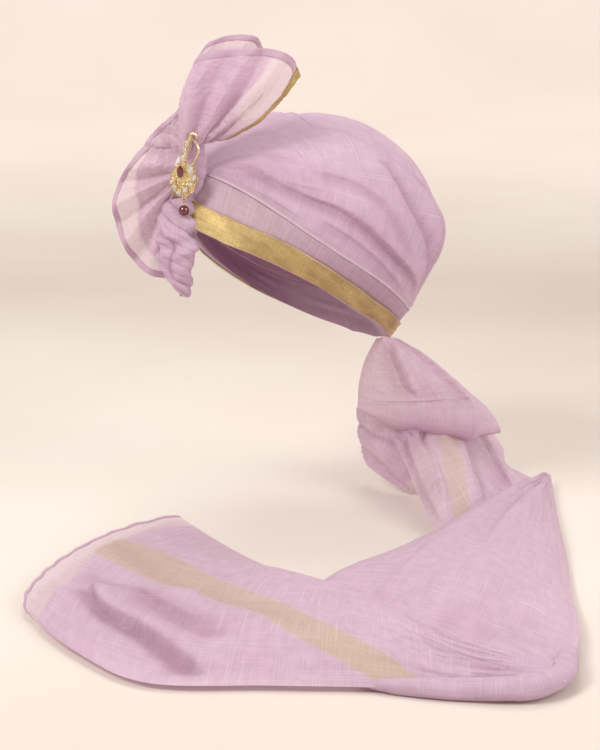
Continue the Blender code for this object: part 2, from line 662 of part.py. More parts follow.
def brooch_frame(points):
    """Turns the brooch's own plane (across, up, fore) into the turban's frame."""
    c, s = math.cos(BROOCH_YAW), math.sin(BROOCH_YAW)
    across, up, fore = np.moveaxis(np.asarray(points, float), -1, 0)
    x = BROOCH_AT[0] + c * across + s * fore
    y = BROOCH_AT[1] + s * across - c * fore
    return np.stack([x, y, BROOCH_AT[2] + up], axis=-1)


def outline(across, up, half_wide, half_tall, sides):
    """A round outline, drawn to a point at its top when it is tall."""
    a = np.linspace(0, 2 * math.pi, sides, endpoint=False)
    point = 1 - 0.42 * np.maximum(np.sin(a), 0) ** 3 * (half_tall > 1.5 * half_wide)
    return np.stack([across + half_wide * np.cos(a) * point, up + half_tall * np.sin(a)], axis=-1)


def stack(layers):
    """Closed rings one above another, each an outline with its height, as a tube grid."""
    return np.stack([np.column_stack([ring, np.full(len(ring), fore)]) for ring, fore in layers])


def cup(name, across, up, half_wide, half_tall, sides):
    """The raised seat of a stone; its rim has the stone's outline and CUP_WALL round it."""
    out = outline(across, up, half_wide + CUP_WALL, half_tall + CUP_WALL, sides)
    flare = CUP_WALL * 1.33
    foot = outline(across, up, half_wide + flare, half_tall + flare, sides)
    layers = [(foot, 0.05 * PLATE_THICK), (foot, 0.6 * SEAT_RISE), (out, SEAT_RISE)]
    return tube(name, brooch_frame(stack(layers)), "gold")


def stone(name, across, up, half_wide, half_tall, sides):
    """A faceted stone that lies on its seat: girdle, slanted facets and a flat table."""
    girdle = outline(across, up, half_wide, half_tall, sides)
    table = outline(across, up, half_wide * 0.55, half_tall * 0.55, sides)
    base = SEAT_RISE + STONE_GAP
    top = base + GIRDLE + 0.35 * half_wide
    grid = stack([(girdle, base), (girdle, base + GIRDLE), (table, top)])
    made = tube(name, brooch_frame(grid), "ruby" if name.startswith("ruby") else "kundan")
    for face in made.data.polygons:
        face.use_smooth = False
    return made


def swept(rows, count, sides):
    """A round bar along a table of middles and radii."""
    row = spline(rows, np.linspace(0, 1, count))
    path = row[:, :3]
    run = unit(np.gradient(path, axis=0))
    side = unit(np.cross(run, np.array([0.0, 0.0, 1.0])))
    up = np.cross(side, run)
    a = np.linspace(0, 2 * math.pi, sides, endpoint=False)[None, :, None]
    radius = row[:, 3][:, None, None]
    return path[:, None] + radius * (np.cos(a) * side[:, None] + np.sin(a) * up[:, None])


def plate_grid():
    """The back plate: a pear outline with a scalloped edge."""
    a = np.linspace(0, 2 * math.pi, 30, endpoint=False)
    scallop = (1 + 0.05 * np.cos(9 * a)) * BROOCH
    wide = 1.16 * scallop
    tall = np.where(np.sin(a) > 0, 1.30, 1.46) * scallop
    middle = np.array([0.20, -0.76]) * BROOCH
    edge = middle + np.stack([wide * np.cos(a), tall * np.sin(a)], axis=-1)
    inner = middle + (edge - middle) * 0.94
    heights = np.array([-0.44, -0.17, 0.33, 0.56]) * PLATE_THICK
    return stack(list(zip([inner, edge, edge, inner], heights)))


def ring(up, radius, wire, across_axis):
    """A round wire ring below the plate, with its axis across it or square to it."""
    a = np.linspace(0, 2 * math.pi, 12, endpoint=False)
    flat = [0 * a, np.sin(a), np.cos(a)] if across_axis else [np.cos(a), np.sin(a), 0 * a]
    out = np.stack(flat, axis=-1)
    axis = np.array([1.0, 0, 0] if across_axis else [0, 0, 1.0])
    b = np.linspace(0, 2 * math.pi, 6, endpoint=False)[None, :, None]
    middle = np.array([LUG_AT[0] * BROOCH, up, 0.0]) + radius * out
    return middle[:, None] + wire * (np.cos(b) * out[:, None] + np.sin(b) * axis)


def hung_below(up, radius, wire, next_radius, next_wire):
    """The height of a ring that hangs in the one above it, less the play between their wires."""
    return up - radius + wire + LINK_PLAY + next_wire - next_radius


def unite(body, extras):
    """Joins closed extras to a body, as soldered metal is."""
    for extra in extras:
        extra.hide_render = True
        extra.display_type = "WIRE"
        join = body.modifiers.new(extra.name, "BOOLEAN")
        join.operation = "UNION"
        join.object = extra


def build_brooch():
    """The plate with its bars and seats, then the stones; gives all of them, cutters too."""
    body = tube("brooch_body", brooch_frame(plate_grid()), "gold")
    stem = np.array(STEM) * [1, BROOCH, BROOCH, BROOCH, BROOCH]
    clip = np.array(CLIP) * [1, BROOCH, BROOCH, BROOCH, BROOCH]
    lug = ring(LUG_AT[1] * BROOCH, LUG_RING * BROOCH, LUG_WIRE, False)
    extras = [
        tube("stem_tool", brooch_frame(swept(stem, 11, 8)), "gold"),
        tube("clip_tool", brooch_frame(swept(clip, 11, 6)), "gold"),
        hoop("lug_tool", brooch_frame(lug), "gold"),
    ]
    stones = []
    for name, across, up, half_wide, half_tall, sides in STONES:
        place = [BROOCH * value for value in (across, up, half_wide, half_tall)]
        extras.append(cup("cup_tool_" + name, *place, sides))
        stones.append(stone(name, *place, sides))
    unite(body, extras)
    return [body] + extras + stones


def build_drop():
    """The small bead below the plate: a pin with a loop runs through it and hangs from a link."""
    lug, link, loop = (share * BROOCH for share in (LUG_RING, LINK_RING, PIN_RING))
    link_up = hung_below(LUG_AT[1] * BROOCH, lug, LUG_WIRE, link, LINK_WIRE)
    loop_up = hung_below(link_up, link, LINK_WIRE, loop, LINK_WIRE)
    link_ring = hoop("drop_link", brooch_frame(ring(link_up, link, LINK_WIRE, True)), "gold")
    pin_loop = hoop("bead_pin", brooch_frame(ring(loop_up, loop, LINK_WIRE, False)), "gold")
    top = loop_up - loop - LINK_WIRE
    middle = top - LINK_PLAY - BEAD_HALF * BEAD[0][1]
    foot = middle + BEAD_HALF * BEAD[-1][1] - LINK_PLAY
    across = LUG_AT[0] * BROOCH
    pin = [
        (0.0, across, top + LINK_WIRE, 0, PIN_THICK), (0.86, across, foot - 0.0001, 0, PIN_THICK),
        (0.93, across, foot - PIN_THICK, 0, 2 * PIN_THICK),
        (1.0, across, foot - 3 * PIN_THICK, 0, PIN_THICK),
    ]
    shank = tube("pin_tool", brooch_frame(swept(pin, 8, 8)), "gold")
    unite(pin_loop, [shank])
    return [link_ring, pin_loop, shank, build_bead(across, middle)]


def build_bead(across, middle):
    """A turned bead round the pin, with a bore BEAD_CLEAR wider than it."""
    bore = PIN_THICK + BEAD_CLEAR
    outline_ = np.array(BEAD) * BEAD_HALF
    radius = np.concatenate([[bore], outline_[:, 0], [bore]])
    height = middle + np.concatenate([[outline_[0, 1]], outline_[:, 1], [outline_[-1, 1]]])
    a = np.linspace(0, 2 * math.pi, 12, endpoint=False)[:, None]
    grid = np.stack([across + radius * np.cos(a), height + 0 * a, radius * np.sin(a)], axis=-1)
    return hoop("ruby_bead", brooch_frame(grid), "ruby")


def build_turban():
    clear_scene()
    worn = [build_crown()] + build_rim_and_band()
    knot = build_knot()
    seat_things([knot], worn, AWAY)
    worn.append(knot)
    worn += build_fans(worn)
    build_twist()
    jewel = build_brooch() + build_drop()
    back = np.array([-math.sin(BROOCH_YAW), math.cos(BROOCH_YAW), 0.0])
    seat_things(jewel, worn, back)
    build_tail()


build_turban()
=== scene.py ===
"""The looks of a tied turban: wound cotton voile, a woven gold band, fans and a jewelled brooch."""

import math

import bmesh
import bpy
import numpy as np
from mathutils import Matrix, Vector


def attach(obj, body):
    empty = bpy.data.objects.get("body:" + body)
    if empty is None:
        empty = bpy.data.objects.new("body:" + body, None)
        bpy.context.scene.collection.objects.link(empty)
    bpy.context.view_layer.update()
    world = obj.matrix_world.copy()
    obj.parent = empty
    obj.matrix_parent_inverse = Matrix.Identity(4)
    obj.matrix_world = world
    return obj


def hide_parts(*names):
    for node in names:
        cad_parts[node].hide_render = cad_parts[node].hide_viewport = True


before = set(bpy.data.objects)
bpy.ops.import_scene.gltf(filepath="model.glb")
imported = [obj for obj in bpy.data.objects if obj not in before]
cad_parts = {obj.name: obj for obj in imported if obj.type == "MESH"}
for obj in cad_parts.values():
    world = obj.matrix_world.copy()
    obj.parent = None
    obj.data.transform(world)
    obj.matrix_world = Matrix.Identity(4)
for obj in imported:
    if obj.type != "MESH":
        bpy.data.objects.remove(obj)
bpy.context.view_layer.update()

# Sizes that the cloth shares with the solids, in metres
HEAD_LONG = 0.099
HEAD_WIDE = 0.084
BRIM_THICK = 0.0088
RIM_LONG = HEAD_LONG + BRIM_THICK
RIM_WIDE = HEAD_WIDE + BRIM_THICK
RIM_RISE = 0.080
BAND_TALL = 0.0215
CROWN_SIZE = 0.120
CROWN_WALL = 0.014
PLEAT = 0.0058
POUCH = 0.0160
UNDER_CROWN = 0.0006
BAND_SEAT = 0.0006
CROWN_ROWS = 230
CROWN_FRONT = (-0.821 * RIM_LONG, 0.104)
CROWN_BACK = (1.048 * RIM_LONG, -0.030)
TABLE_DROP = 0.215
TAIL = 0.100
END_BOW = 0.38
TAIL_UP = (TABLE_DROP - 0.7125 * RIM_RISE) / 1.58
HANG_TURN = math.radians(150)
HANG_AT = (RIM_WIDE * math.sin(HANG_TURN), -RIM_LONG * math.cos(HANG_TURN))
VIEW_TURN = math.radians(45)
FAN = 0.100
KNOT_AT = (0.06 * FAN, CROWN_FRONT[0] - 0.025 * FAN, CROWN_FRONT[1] + 0.16 * FAN)
AWAY = np.array([-math.sin(VIEW_TURN), math.cos(VIEW_TURN), 0.0])
OUTWARD = np.array([math.cos(VIEW_TURN), math.sin(VIEW_TURN), 0.0])
UP = np.array([0.0, 0.0, 1.0])
BROOCH = 0.010
BROOCH_YAW = math.radians(24)
BROOCH_BACK = np.array([-math.sin(BROOCH_YAW), math.cos(BROOCH_YAW), 0.0])
BROOCH_AT = np.array([KNOT_AT[0], KNOT_AT[1] - 0.30 * FAN, KNOT_AT[2] - 0.10 * FAN])

# How far the solids' seats moved each piece from its table, in metres
MID_FAN_IN = 0.00794
LOWER_FAN_IN = 0.00146
BACK_FAN_IN = 0.00066
UPPER_FAN_IN = 0.00383
BROOCH_IN = 0.00603
KNOT_IN = 0.00156
PANEL_RAISED = 0.00818
BACK_RAISED = 0.00179
BACK_FORWARD = 0.01309

# Camera
LENS_PX = 1850.0
SHOT_TALL = 750
SENSOR = 36.0
LOOK_AT = Vector((0.0, 0.0285, -0.0914))
LOOK_FROM = 1.7
LOOK_DOWN = math.radians(13.4)

# Floor, metres: its half width, where its flat part ends, and the curve up into its backdrop
FLOOR_HALF = 5.0
FLOOR_FLAT = 3.6
FLOOR_CURVE = 1.4

# Cloth finish, metres
HEM_WIDE = 0.0056
HEM_THICK = 0.0011
STITCH = 0.0021
THREAD = 0.00024
CLOTH_GAP = 0.0012  # between the table and the middle of a laid layer
MARKS = ("sheer", "stripe", "shade")  # what a cloth's points tell its material

# Turn about the head from its front, degrees; height, share of RIM_RISE
RIM = [
    (-180, -0.76), (-150, -0.62), (-120, -0.32), (-90, 0.15), (-60, 0.75), (-35, 0.98),
    (-15, 0.90), (5, 0.76), (27, 0.60), (45, 0.45), (56, 0.33), (68, 0.18), (81, 0.0),
    (93, -0.17), (112, -0.39), (124, -0.55), (150, -0.72), (180, -0.76),
]
# Place along the crown; lower edge on the left and right, degrees; height and half width shares
CROWN_FORM = [
    (0.0, 15, -5, 0.30, 0.86), (0.17, 15, -14, 0.54, 0.91), (0.25, 15, -16, 0.67, 0.95),
    (0.33, 14, -11, 0.80, 0.98), (0.5, 11, 0, 1.03, 1.03), (0.67, 10, 3, 1.21, 1.07),
    (0.83, 9, 4, 1.41, 1.08), (1.0, 9, 5, 1.50, 1.00),
]
# Place of a pleat's upper edge, share of the arch from left to right; lift, share of PLEAT
CROWN_PLEATS = [
    (0.55, 0.0), (0.62, 0.3), (0.68, 0.5), (0.745, 0.7), (0.81, 0.8),
    (0.880, 0.9), (0.945, 0.8),
]
# Folds of the crown: each a line of places (along, over) on it, then its rise and the widths of
# its slow side and of its steep side, metres; a rise below nought swells on the line's near side
CROWN_FOLDS = {
    "wrap_edge": (
        [(0.02, 0.74), (0.10, 0.765), (0.20, 0.76), (0.30, 0.72), (0.37, 0.665), (0.365, 0.58),
         (0.34, 0.50), (0.34, 0.443), (0.385, 0.385), (0.445, 0.312), (0.54, 0.25), (0.64, 0.19)],
        -0.0078, 0.030, 0.0030),
    "long_crease": (
        [(0.04, 0.47), (0.13, 0.348), (0.175, 0.205), (0.255, 0.138), (0.335, 0.118),
         (0.40, 0.095), (0.49, 0.065), (0.605, 0.045), (0.68, 0.02)],
        0.0062, 0.018, 0.0038),
    "pouch_ridge": (
        [(0.42, 0.29), (0.46, 0.22), (0.50, 0.165), (0.56, 0.125), (0.62, 0.08), (0.66, 0.02)],
        -0.0080, 0.013, 0.0050),
    "nape_fold_1": ([(0.52, 0.30), (0.585, 0.225), (0.635, 0.14), (0.675, 0.02)], -0.0055, 0.010, 0.0040),
    "nape_fold_2": ([(0.60, 0.30), (0.65, 0.20), (0.69, 0.10), (0.70, 0.01)], -0.0045, 0.012, 0.0040),
    "nape_fold_3": ([(0.68, 0.36), (0.72, 0.24), (0.735, 0.12), (0.725, 0.01)], -0.0040, 0.012, 0.0040),
    "low_fold_1": ([(0.30, 0.065), (0.40, 0.050), (0.50, 0.030), (0.62, 0.010)], 0.0026, 0.008, 0.0030),
    "low_fold_2": ([(0.04, 0.20), (0.10, 0.10), (0.18, 0.055), (0.30, 0.03)], 0.0022, 0.007, 0.0030),
    "brow_fold_1": ([(0.03, 0.58), (0.10, 0.50), (0.18, 0.40), (0.26, 0.33)], 0.0026, 0.009, 0.0036),
    "brow_fold_3": ([(0.02, 0.36), (0.09, 0.27), (0.15, 0.20), (0.24, 0.17), (0.34, 0.16)], 0.0026, 0.008, 0.0032),
    "side_fold": ([(0.26, 0.25), (0.34, 0.215), (0.42, 0.17), (0.50, 0.11), (0.58, 0.06)], 0.0026, 0.009, 0.0034),
    "brow_fold_2": ([(0.04, 0.69), (0.12, 0.66), (0.22, 0.61), (0.30, 0.56)], 0.0028, 0.009, 0.0034),
    "far_wrap_1": ([(0.06, 0.86), (0.22, 0.84), (0.45, 0.80), (0.70, 0.70), (0.92, 0.55)], 0.0030, 0.014, 0.0026),
    "far_wrap_2": ([(0.08, 0.94), (0.25, 0.92), (0.48, 0.90), (0.72, 0.84), (0.93, 0.72)], 0.0028, 0.014, 0.0026),
    "back_wrap": ([(0.60, 0.60), (0.70, 0.54), (0.82, 0.44), (0.95, 0.30)], 0.0030, 0.018, 0.0032),
    "back_wrap_2": ([(0.74, 0.42), (0.82, 0.34), (0.90, 0.22), (0.97, 0.10)], 0.0028, 0.014, 0.0032),
}

# Fan ribs, shares of FAN: root out, up, fore; tip out, up, fore; bow out, up, fore
UPPER_FAN = [
    (-0.19, -0.01, 0.13, -0.06, 0.81, 0.04, -0.09, 0.00, 0.02),
    (-0.15, 0.03, 0.16, 0.02, 0.87, 0.13, -0.06, 0.00, 0.09),
    (-0.11, 0.06, 0.16, 0.22, 0.89, 0.10, -0.03, 0.00, 0.02),
    (-0.07, 0.09, 0.16, 0.38, 0.90, 0.16, -0.01, -0.01, 0.09),
    (-0.02, 0.11, 0.16, 0.52, 0.90, 0.11, 0.02, -0.03, 0.02),
    (0.03, 0.12, 0.16, 0.66, 0.87, 0.12, 0.05, -0.05, 0.08),
    (0.08, 0.13, 0.14, 0.75, 0.81, 0.05, 0.07, -0.06, 0.05),
    (0.12, 0.14, 0.12, 0.79, 0.71, -0.02, 0.07, -0.07, 0.00),
]
BACK_FAN = [
    (-0.18, 0.06, 0.08, -0.05, 0.82, -0.08, -0.08, 0.00, -0.03),
    (-0.14, 0.09, 0.10, 0.06, 0.95, -0.02, -0.05, 0.00, 0.00),
    (-0.10, 0.12, 0.10, 0.20, 1.00, -0.04, -0.02, 0.00, -0.03),
    (-0.05, 0.14, 0.10, 0.36, 1.01, 0.01, 0.00, 0.00, 0.00),
    (0.00, 0.15, 0.09, 0.45, 0.98, -0.03, 0.02, 0.00, -0.02),
    (0.05, 0.16, 0.07, 0.50, 0.88, -0.06, 0.04, -0.02, -0.03),
]
MID_FAN = [
    (-0.20, 0.16, -0.05, -0.19, 0.42, -0.12, -0.01, 0.02, 0.00),
    (-0.22, 0.12, -0.03, -0.32, 0.31, -0.02, -0.01, 0.02, 0.04),
    (-0.23, 0.08, -0.04, -0.43, 0.20, -0.10, -0.01, 0.02, 0.00),
    (-0.24, 0.04, -0.03, -0.51, 0.10, -0.02, 0.00, 0.02, 0.05),
    (-0.24, -0.01, -0.05, -0.51, 0.00, -0.08, 0.00, 0.02, 0.00),
]
LOWER_FAN = [
    (-0.20, 0.06, 0.02, -0.46, 0.11, -0.05, 0.00, 0.03, 0.00),
    (-0.26, -0.04, 0.04, -0.55, 0.04, 0.02, 0.00, 0.02, 0.02),
    (-0.27, -0.09, 0.05, -0.66, -0.09, 0.05, -0.01, 0.01, 0.05),
    (-0.28, -0.13, 0.03, -0.75, -0.25, -0.08, -0.01, 0.01, 0.00),
    (-0.29, -0.17, 0.04, -0.79, -0.42, 0.04, -0.02, 0.01, 0.08),
    (-0.30, -0.21, 0.03, -0.77, -0.59, -0.08, -0.02, 0.00, 0.00),
    (-0.30, -0.25, 0.04, -0.71, -0.75, 0.04, -0.02, 0.00, 0.07),
    (-0.30, -0.29, 0.03, -0.63, -0.90, -0.06, -0.02, 0.00, 0.00),
    (-0.29, -0.33, 0.03, -0.49, -1.01, 0.02, -0.02, -0.01, 0.03),
    (-0.27, -0.37, 0.02, -0.31, -1.06, -0.04, -0.02, -0.01, -0.02),
]
# Hanging twist, shares of FAN: out, up, fore of its middle; half width, half depth; turn, degrees
TWIST = [
    (0.00, -0.215, -0.345, 0.02, 0.10, 0.045, -60),
    (0.10, -0.225, -0.48, 0.07, 0.145, 0.07, 0),
    (0.24, -0.225, -0.64, 0.12, 0.165, 0.09, 60),
    (0.38, -0.225, -0.75, 0.14, 0.165, 0.09, 110),
    (0.54, -0.235, -0.87, 0.14, 0.15, 0.09, 160),
    (0.70, -0.23, -0.99, 0.13, 0.115, 0.08, 210),
    (0.85, -0.21, -1.08, 0.12, 0.090, 0.06, 260),
    (1.00, -0.18, -1.18, 0.11, 0.045, 0.035, 300),
]

# Tail sections: place; first and second edge (right, away, up from the table); swell
FALL = [
    (0.00, 0.70, 0.02, 1.58, 0.79, 0.60, 1.465, 0.02),
    (0.22, 0.60, 0.10, 1.36, 1.13, 0.82, 1.23, 0.14),
    (0.44, 0.55, 0.15, 1.14, 1.50, 0.96, 0.95, 0.22),
    (0.66, 0.54, 0.18, 0.98, 1.82, 1.02, 0.68, 0.22),
    (0.90, 0.55, 0.18, 0.86, 1.97, 1.00, 0.45, 0.14),
    (1.00, 0.59, 0.25, 0.83, 1.97, 1.08, 0.40, 0.08),
]
BACK = [
    (0.00, 0.86, 0.70, 0.765, 1.86, 1.46, 0.42, 0.02),
    (0.22, 0.89, 0.40, 0.55, 2.00, 1.22, 0.25, 0.04),
    (0.55, 1.00, -0.20, 0.36, 2.04, 0.94, 0.08, 0.13),
    (0.85, 1.18, -1.06, 0.10, 2.24, 0.62, 0.05, 0.08),
    (1.00, 1.32, -1.34, 0.045, 2.36, 0.34, 0.045, 0.01),
]
PANEL = [
    (0.00, 2.34, 0.58, 0.14, 2.42, 0.60, 0.10, 0.00),
    (0.12, 2.12, 0.16, 0.17, 2.39, 0.14, 0.05, 0.06),
    (0.30, 1.70, -0.54, 0.17, 2.32, -0.70, 0.05, 0.17),
    (0.50, 1.24, -1.22, 0.16, 2.26, -1.65, 0.05, 0.24),
    (0.70, 0.78, -1.80, 0.14, 2.17, -2.60, 0.05, 0.25),
    (0.88, 0.30, -2.36, 0.10, 2.06, -3.70, 0.05, 0.18),
    (1.00, -0.02, -2.90, 0.05, 1.84, -4.54, 0.05, 0.01),
]
RUN = [
    (0.00, -1.10, -0.52, 0.05, -2.07, -3.00, 0.05, 0.05),
    (0.18, -0.77, -1.14, 0.05, -1.68, -3.74, 0.05, 0.13),
    (0.36, -0.40, -1.76, 0.06, -1.10, -4.36, 0.05, 0.20),
    (0.54, 0.07, -2.64, 0.17, -0.20, -4.42, 0.05, 0.26),
    (0.72, 0.62, -3.50, 0.25, 0.60, -4.46, 0.05, 0.22),
    (0.86, 1.14, -4.06, 0.26, 1.16, -4.54, 0.05, 0.12),
    (1.00, 1.80, -4.30, 0.18, 1.72, -4.56, 0.14, 0.03),
]
# Folds of the tail: across at the start and the end, rise as a share of TAIL, half width, stretch
FALL_FOLDS = [
    (0.30, 0.22, 0.040, 0.08, 0.05, 1.0), (0.55, 0.50, 0.035, 0.09, 0.10, 0.9),
    (0.78, 0.74, 0.050, 0.06, 0.05, 1.0),
]
BACK_FOLDS = [
    (0.18, 0.10, 0.060, 0.05, 0.00, 0.8), (0.40, 0.36, 0.040, 0.06, 0.00, 0.9),
    (0.72, 0.78, 0.060, 0.07, 0.10, 1.0),
]
PANEL_FOLDS = [
    (0.20, 0.30, 0.030, 0.09, 0.10, 0.8), (0.62, 0.55, 0.035, 0.10, 0.30, 1.0),
]
RUN_FOLDS = [
    (0.80, 0.52, 0.055, 0.07, 0.06, 0.42), (0.62, 0.86, 0.045, 0.08, 0.30, 0.66),
    (0.16, 0.20, 0.020, 0.08, 0.10, 0.9),
]
# The woven stripe on the laid end: place along it; its two edges across
RUN_STRIPE = [
    (0.06, 0.245, 0.41), (0.15, 0.255, 0.44), (0.26, 0.275, 0.49), (0.43, 0.43, 0.61),
    (0.57, 0.625, 0.82), (0.66, 0.745, 0.92), (0.72, 0.83, 0.99), (0.80, 0.975, 1.10),
]
BACK_STRIPE = [(0.10, 0.45, 0.66), (0.24, 0.375, 0.55), (0.60, 0.24, 0.40), (0.92, 0.13, 0.29)]


def spline(rows, at):
    """Smooth values from a table whose first column is the place along it."""
    table = np.asarray(rows, float)
    at = np.asarray(at, float)
    places = table[:, 0]
    slopes = np.gradient(table[:, 1:], places, axis=0)
    i = np.clip(np.searchsorted(places, at, side="right") - 1, 0, len(places) - 2)
    step = (places[i + 1] - places[i])[..., None]
    t = (at - places[i])[..., None] / step
    low, high = table[i, 1:], table[i + 1, 1:]
    lean = t * (1 - t) * step
    return low + (high - low) * t * t * (3 - 2 * t) + lean * ((1 - t) * slopes[i] - t * slopes[i + 1])


def smooth(x):
    x = np.clip(x, 0.0, 1.0)
    return x * x * (3 - 2 * x)


def bell(x, y=0.0):
    return np.exp(-x ** 2 - y ** 2)


def angles(count):
    """Even angles round a full turn."""
    return np.linspace(0, math.tau, count, endpoint=False)


def unit(vectors):
    return vectors / np.maximum(np.linalg.norm(vectors, axis=-1, keepdims=True), 1e-9)


def normals(grid):
    return unit(np.cross(np.gradient(grid, axis=0), np.gradient(grid, axis=1)))


def facing(grid, towards):
    """The grid's normals, all on the side that mostly faces a direction."""
    out = normals(grid)
    return out * np.sign(np.sum(out * towards) + 1e-9)


def square(rows, columns):
    """Places along and across, from 0 to 1, at each point of a grid."""
    return np.meshgrid(np.linspace(0, 1, rows), np.linspace(0, 1, columns), indexing="ij")


def ripple(u, v, seed, cells_u, cells_v):
    """Smooth random waves from -1 to 1, with that many cells along u and v."""
    knots = np.random.default_rng(seed).uniform(-1, 1, (cells_u + 2, cells_v + 2))
    x, y = np.clip(u, 0, 1) * cells_u, np.clip(v, 0, 1) * cells_v
    i, j = x.astype(int), y.astype(int)
    a, b = smooth(x - i), smooth(y - j)
    low = knots[i, j] * (1 - b) + knots[i, j + 1] * b
    high = knots[i + 1, j] * (1 - b) + knots[i + 1, j + 1] * b
    return low * (1 - a) + high * a


def evenly(rows):
    """A table for spline whose rows lie at even places from 0 to 1."""
    return [(place, *row) for place, row in zip(np.linspace(0, 1, len(rows)), rows)]


def lengths(line):
    """The distance along a line at each of its points."""
    return np.concatenate([[0], np.cumsum(np.linalg.norm(np.diff(line, axis=0), axis=1))])


def between(at, far, values):
    """Vectors along a line, read at other distances than their own."""
    return np.stack([np.interp(at, far, values[:, k]) for k in range(3)], axis=1)


def resample(line, step):
    """Points an even step apart along a line, with the distance of each."""
    far = lengths(line)
    at = np.linspace(0, far[-1], max(int(round(far[-1] / step)), 2) + 1)
    return between(at, far, line), at


def line_field(surface, u, v, line):
    """Signed distance in metres from a line drawn on a surface, and the place along the line."""
    at = np.linspace(0, 1, 70)
    drawn = spline(evenly(line), at)
    solid = surface(drawn[:, 0], drawn[:, 1])
    here = surface(u.ravel(), v.ravel())
    best, nearest = np.full(len(here), 1e9), np.zeros(len(here), int)
    for k, point in enumerate(solid):
        far = np.sum((here - point) ** 2, axis=1)
        closer = far < best
        best[closer], nearest[closer] = far[closer], k
    run = np.gradient(drawn, axis=0)[nearest]
    lead = np.stack([u.ravel(), v.ravel()], axis=1) - drawn[nearest]
    side = np.sign(run[:, 0] * lead[:, 1] - run[:, 1] * lead[:, 0])
    return (np.sqrt(best) * side).reshape(u.shape), at[nearest].reshape(u.shape)


def fold(surface, u, v, line, rise, slow, steep):
    """A fold along a line, and the shadow in its valley: it swells on its slow side and drops on its
    steep side. A rise below nought turns the two sides round."""
    gap, place = line_field(surface, u, v, line)
    gap = gap * np.sign(rise)
    window = smooth(place / 0.14) * smooth((1 - place) / 0.22)
    over = np.exp(-np.abs(gap) / slow) * smooth(gap / steep + 0.5)
    under = -0.45 * bell((gap + steep) / (2.2 * steep))
    valley = bell((gap + 0.9 * steep) / (1.5 * steep))
    return abs(rise) * window * (over + under), window * valley


# Colours, linear
LILAC = (0.705, 0.485, 0.635)
LILAC_PALE = (0.820, 0.690, 0.780)
BEIGE = (0.625, 0.470, 0.345)
SHADOW = (0.62, 0.48, 0.53)
SLUB = (0.91, 0.77, 0.87)
SHEER_TONE = (0.840, 0.710, 0.720)


class Nodes:
    """Short calls for a material's nodes."""

    def __init__(self, name):
        self.material = bpy.data.materials.get(name) or bpy.data.materials.new(name)
        self.material.use_nodes = True
        self.tree = self.material.node_tree
        self.tree.nodes.clear()
        self.out = self.tree.nodes.new("ShaderNodeOutputMaterial")

    def add(self, kind, settings=None, **sockets):
        node = self.tree.nodes.new("ShaderNode" + kind)
        for key, value in (settings or {}).items():
            setattr(node, key, value)
        for key, value in sockets.items():
            numbered = key[0] == "i" and key[1:].isdigit()
            self.put(node.inputs[int(key[1:]) if numbered else key.replace("_", " ")], value)
        return node

    def put(self, socket, value):
        if isinstance(value, bpy.types.NodeSocket):
            self.tree.links.new(value, socket)
        elif isinstance(value, tuple) and len(value) == 3 and socket.type == "RGBA":
            socket.default_value = (*value, 1)
        else:
            socket.default_value = value

    def math(self, operation, a, b=0.0, c=0.0, clamp=False):
        node = self.add("Math", {"operation": operation, "use_clamp": clamp}, i0=a, i1=b, i2=c)
        return node.outputs[0]

    def mix(self, share, a, b, blend="MIX"):
        node = self.add("Mix", {"data_type": "RGBA", "blend_type": blend})
        self.put(node.inputs[0], share)
        self.put(node.inputs[6], a if isinstance(a, bpy.types.NodeSocket) else (*a, 1.0))
        self.put(node.inputs[7], b if isinstance(b, bpy.types.NodeSocket) else (*b, 1.0))
        return node.outputs[2]

    def ramp(self, value, low, high, start=0.0, end=1.0):
        node = self.add("MapRange", {"clamp": True}, i0=value, i1=low, i2=high, i3=start, i4=end)
        return node.outputs[0]

    def grown(self, name):
        return self.add("Attribute", {"attribute_name": name}).outputs["Fac"]

    def noise(self, vector, scale, stretch=(1, 1, 1), detail=2.0):
        place = self.add("Mapping", Vector=vector, Scale=stretch)
        return self.add("TexNoise", Vector=place.outputs[0], Scale=scale, Detail=detail).outputs["Fac"]

    def weave(self, uv, along, across, detail=1.0):
        """Noise over a cloth, in cells per metre along it and across it."""
        return self.noise(uv, 1.0, (along, across, 1), detail)

    def times(self, a, b, clamp=False):
        return self.math("MULTIPLY", a, b, clamp=clamp)

    def place(self, kind):
        return self.add("TexCoord").outputs[kind]

    def bump(self, height, strength, distance):
        return self.add("Bump", Strength=strength, Distance=distance, Height=height).outputs[0]

    def done(self, shader):
        """Puts the last shader on the output."""
        self.put(self.out.inputs[0], shader.outputs[0])
        return self.material


def threads(nodes, uv):
    """Slub threads in both directions of the weave: how pale, how dark, and their height."""
    pale, height = 0.0, 0.0
    for across, along, strength in (
        (1050, 12, 1.0), (12, 1050, 0.9), (1900, 30, 0.8), (30, 1900, 0.8), (3000, 60, 0.6), (60, 3000, 0.6),
    ):
        field = nodes.weave(uv, across, along, 0.5)
        pale = nodes.math("MAXIMUM", pale, nodes.times(nodes.ramp(field, 0.50, 0.78), strength))
        height = nodes.math("ADD", height, nodes.times(field, strength))
    return pale, height


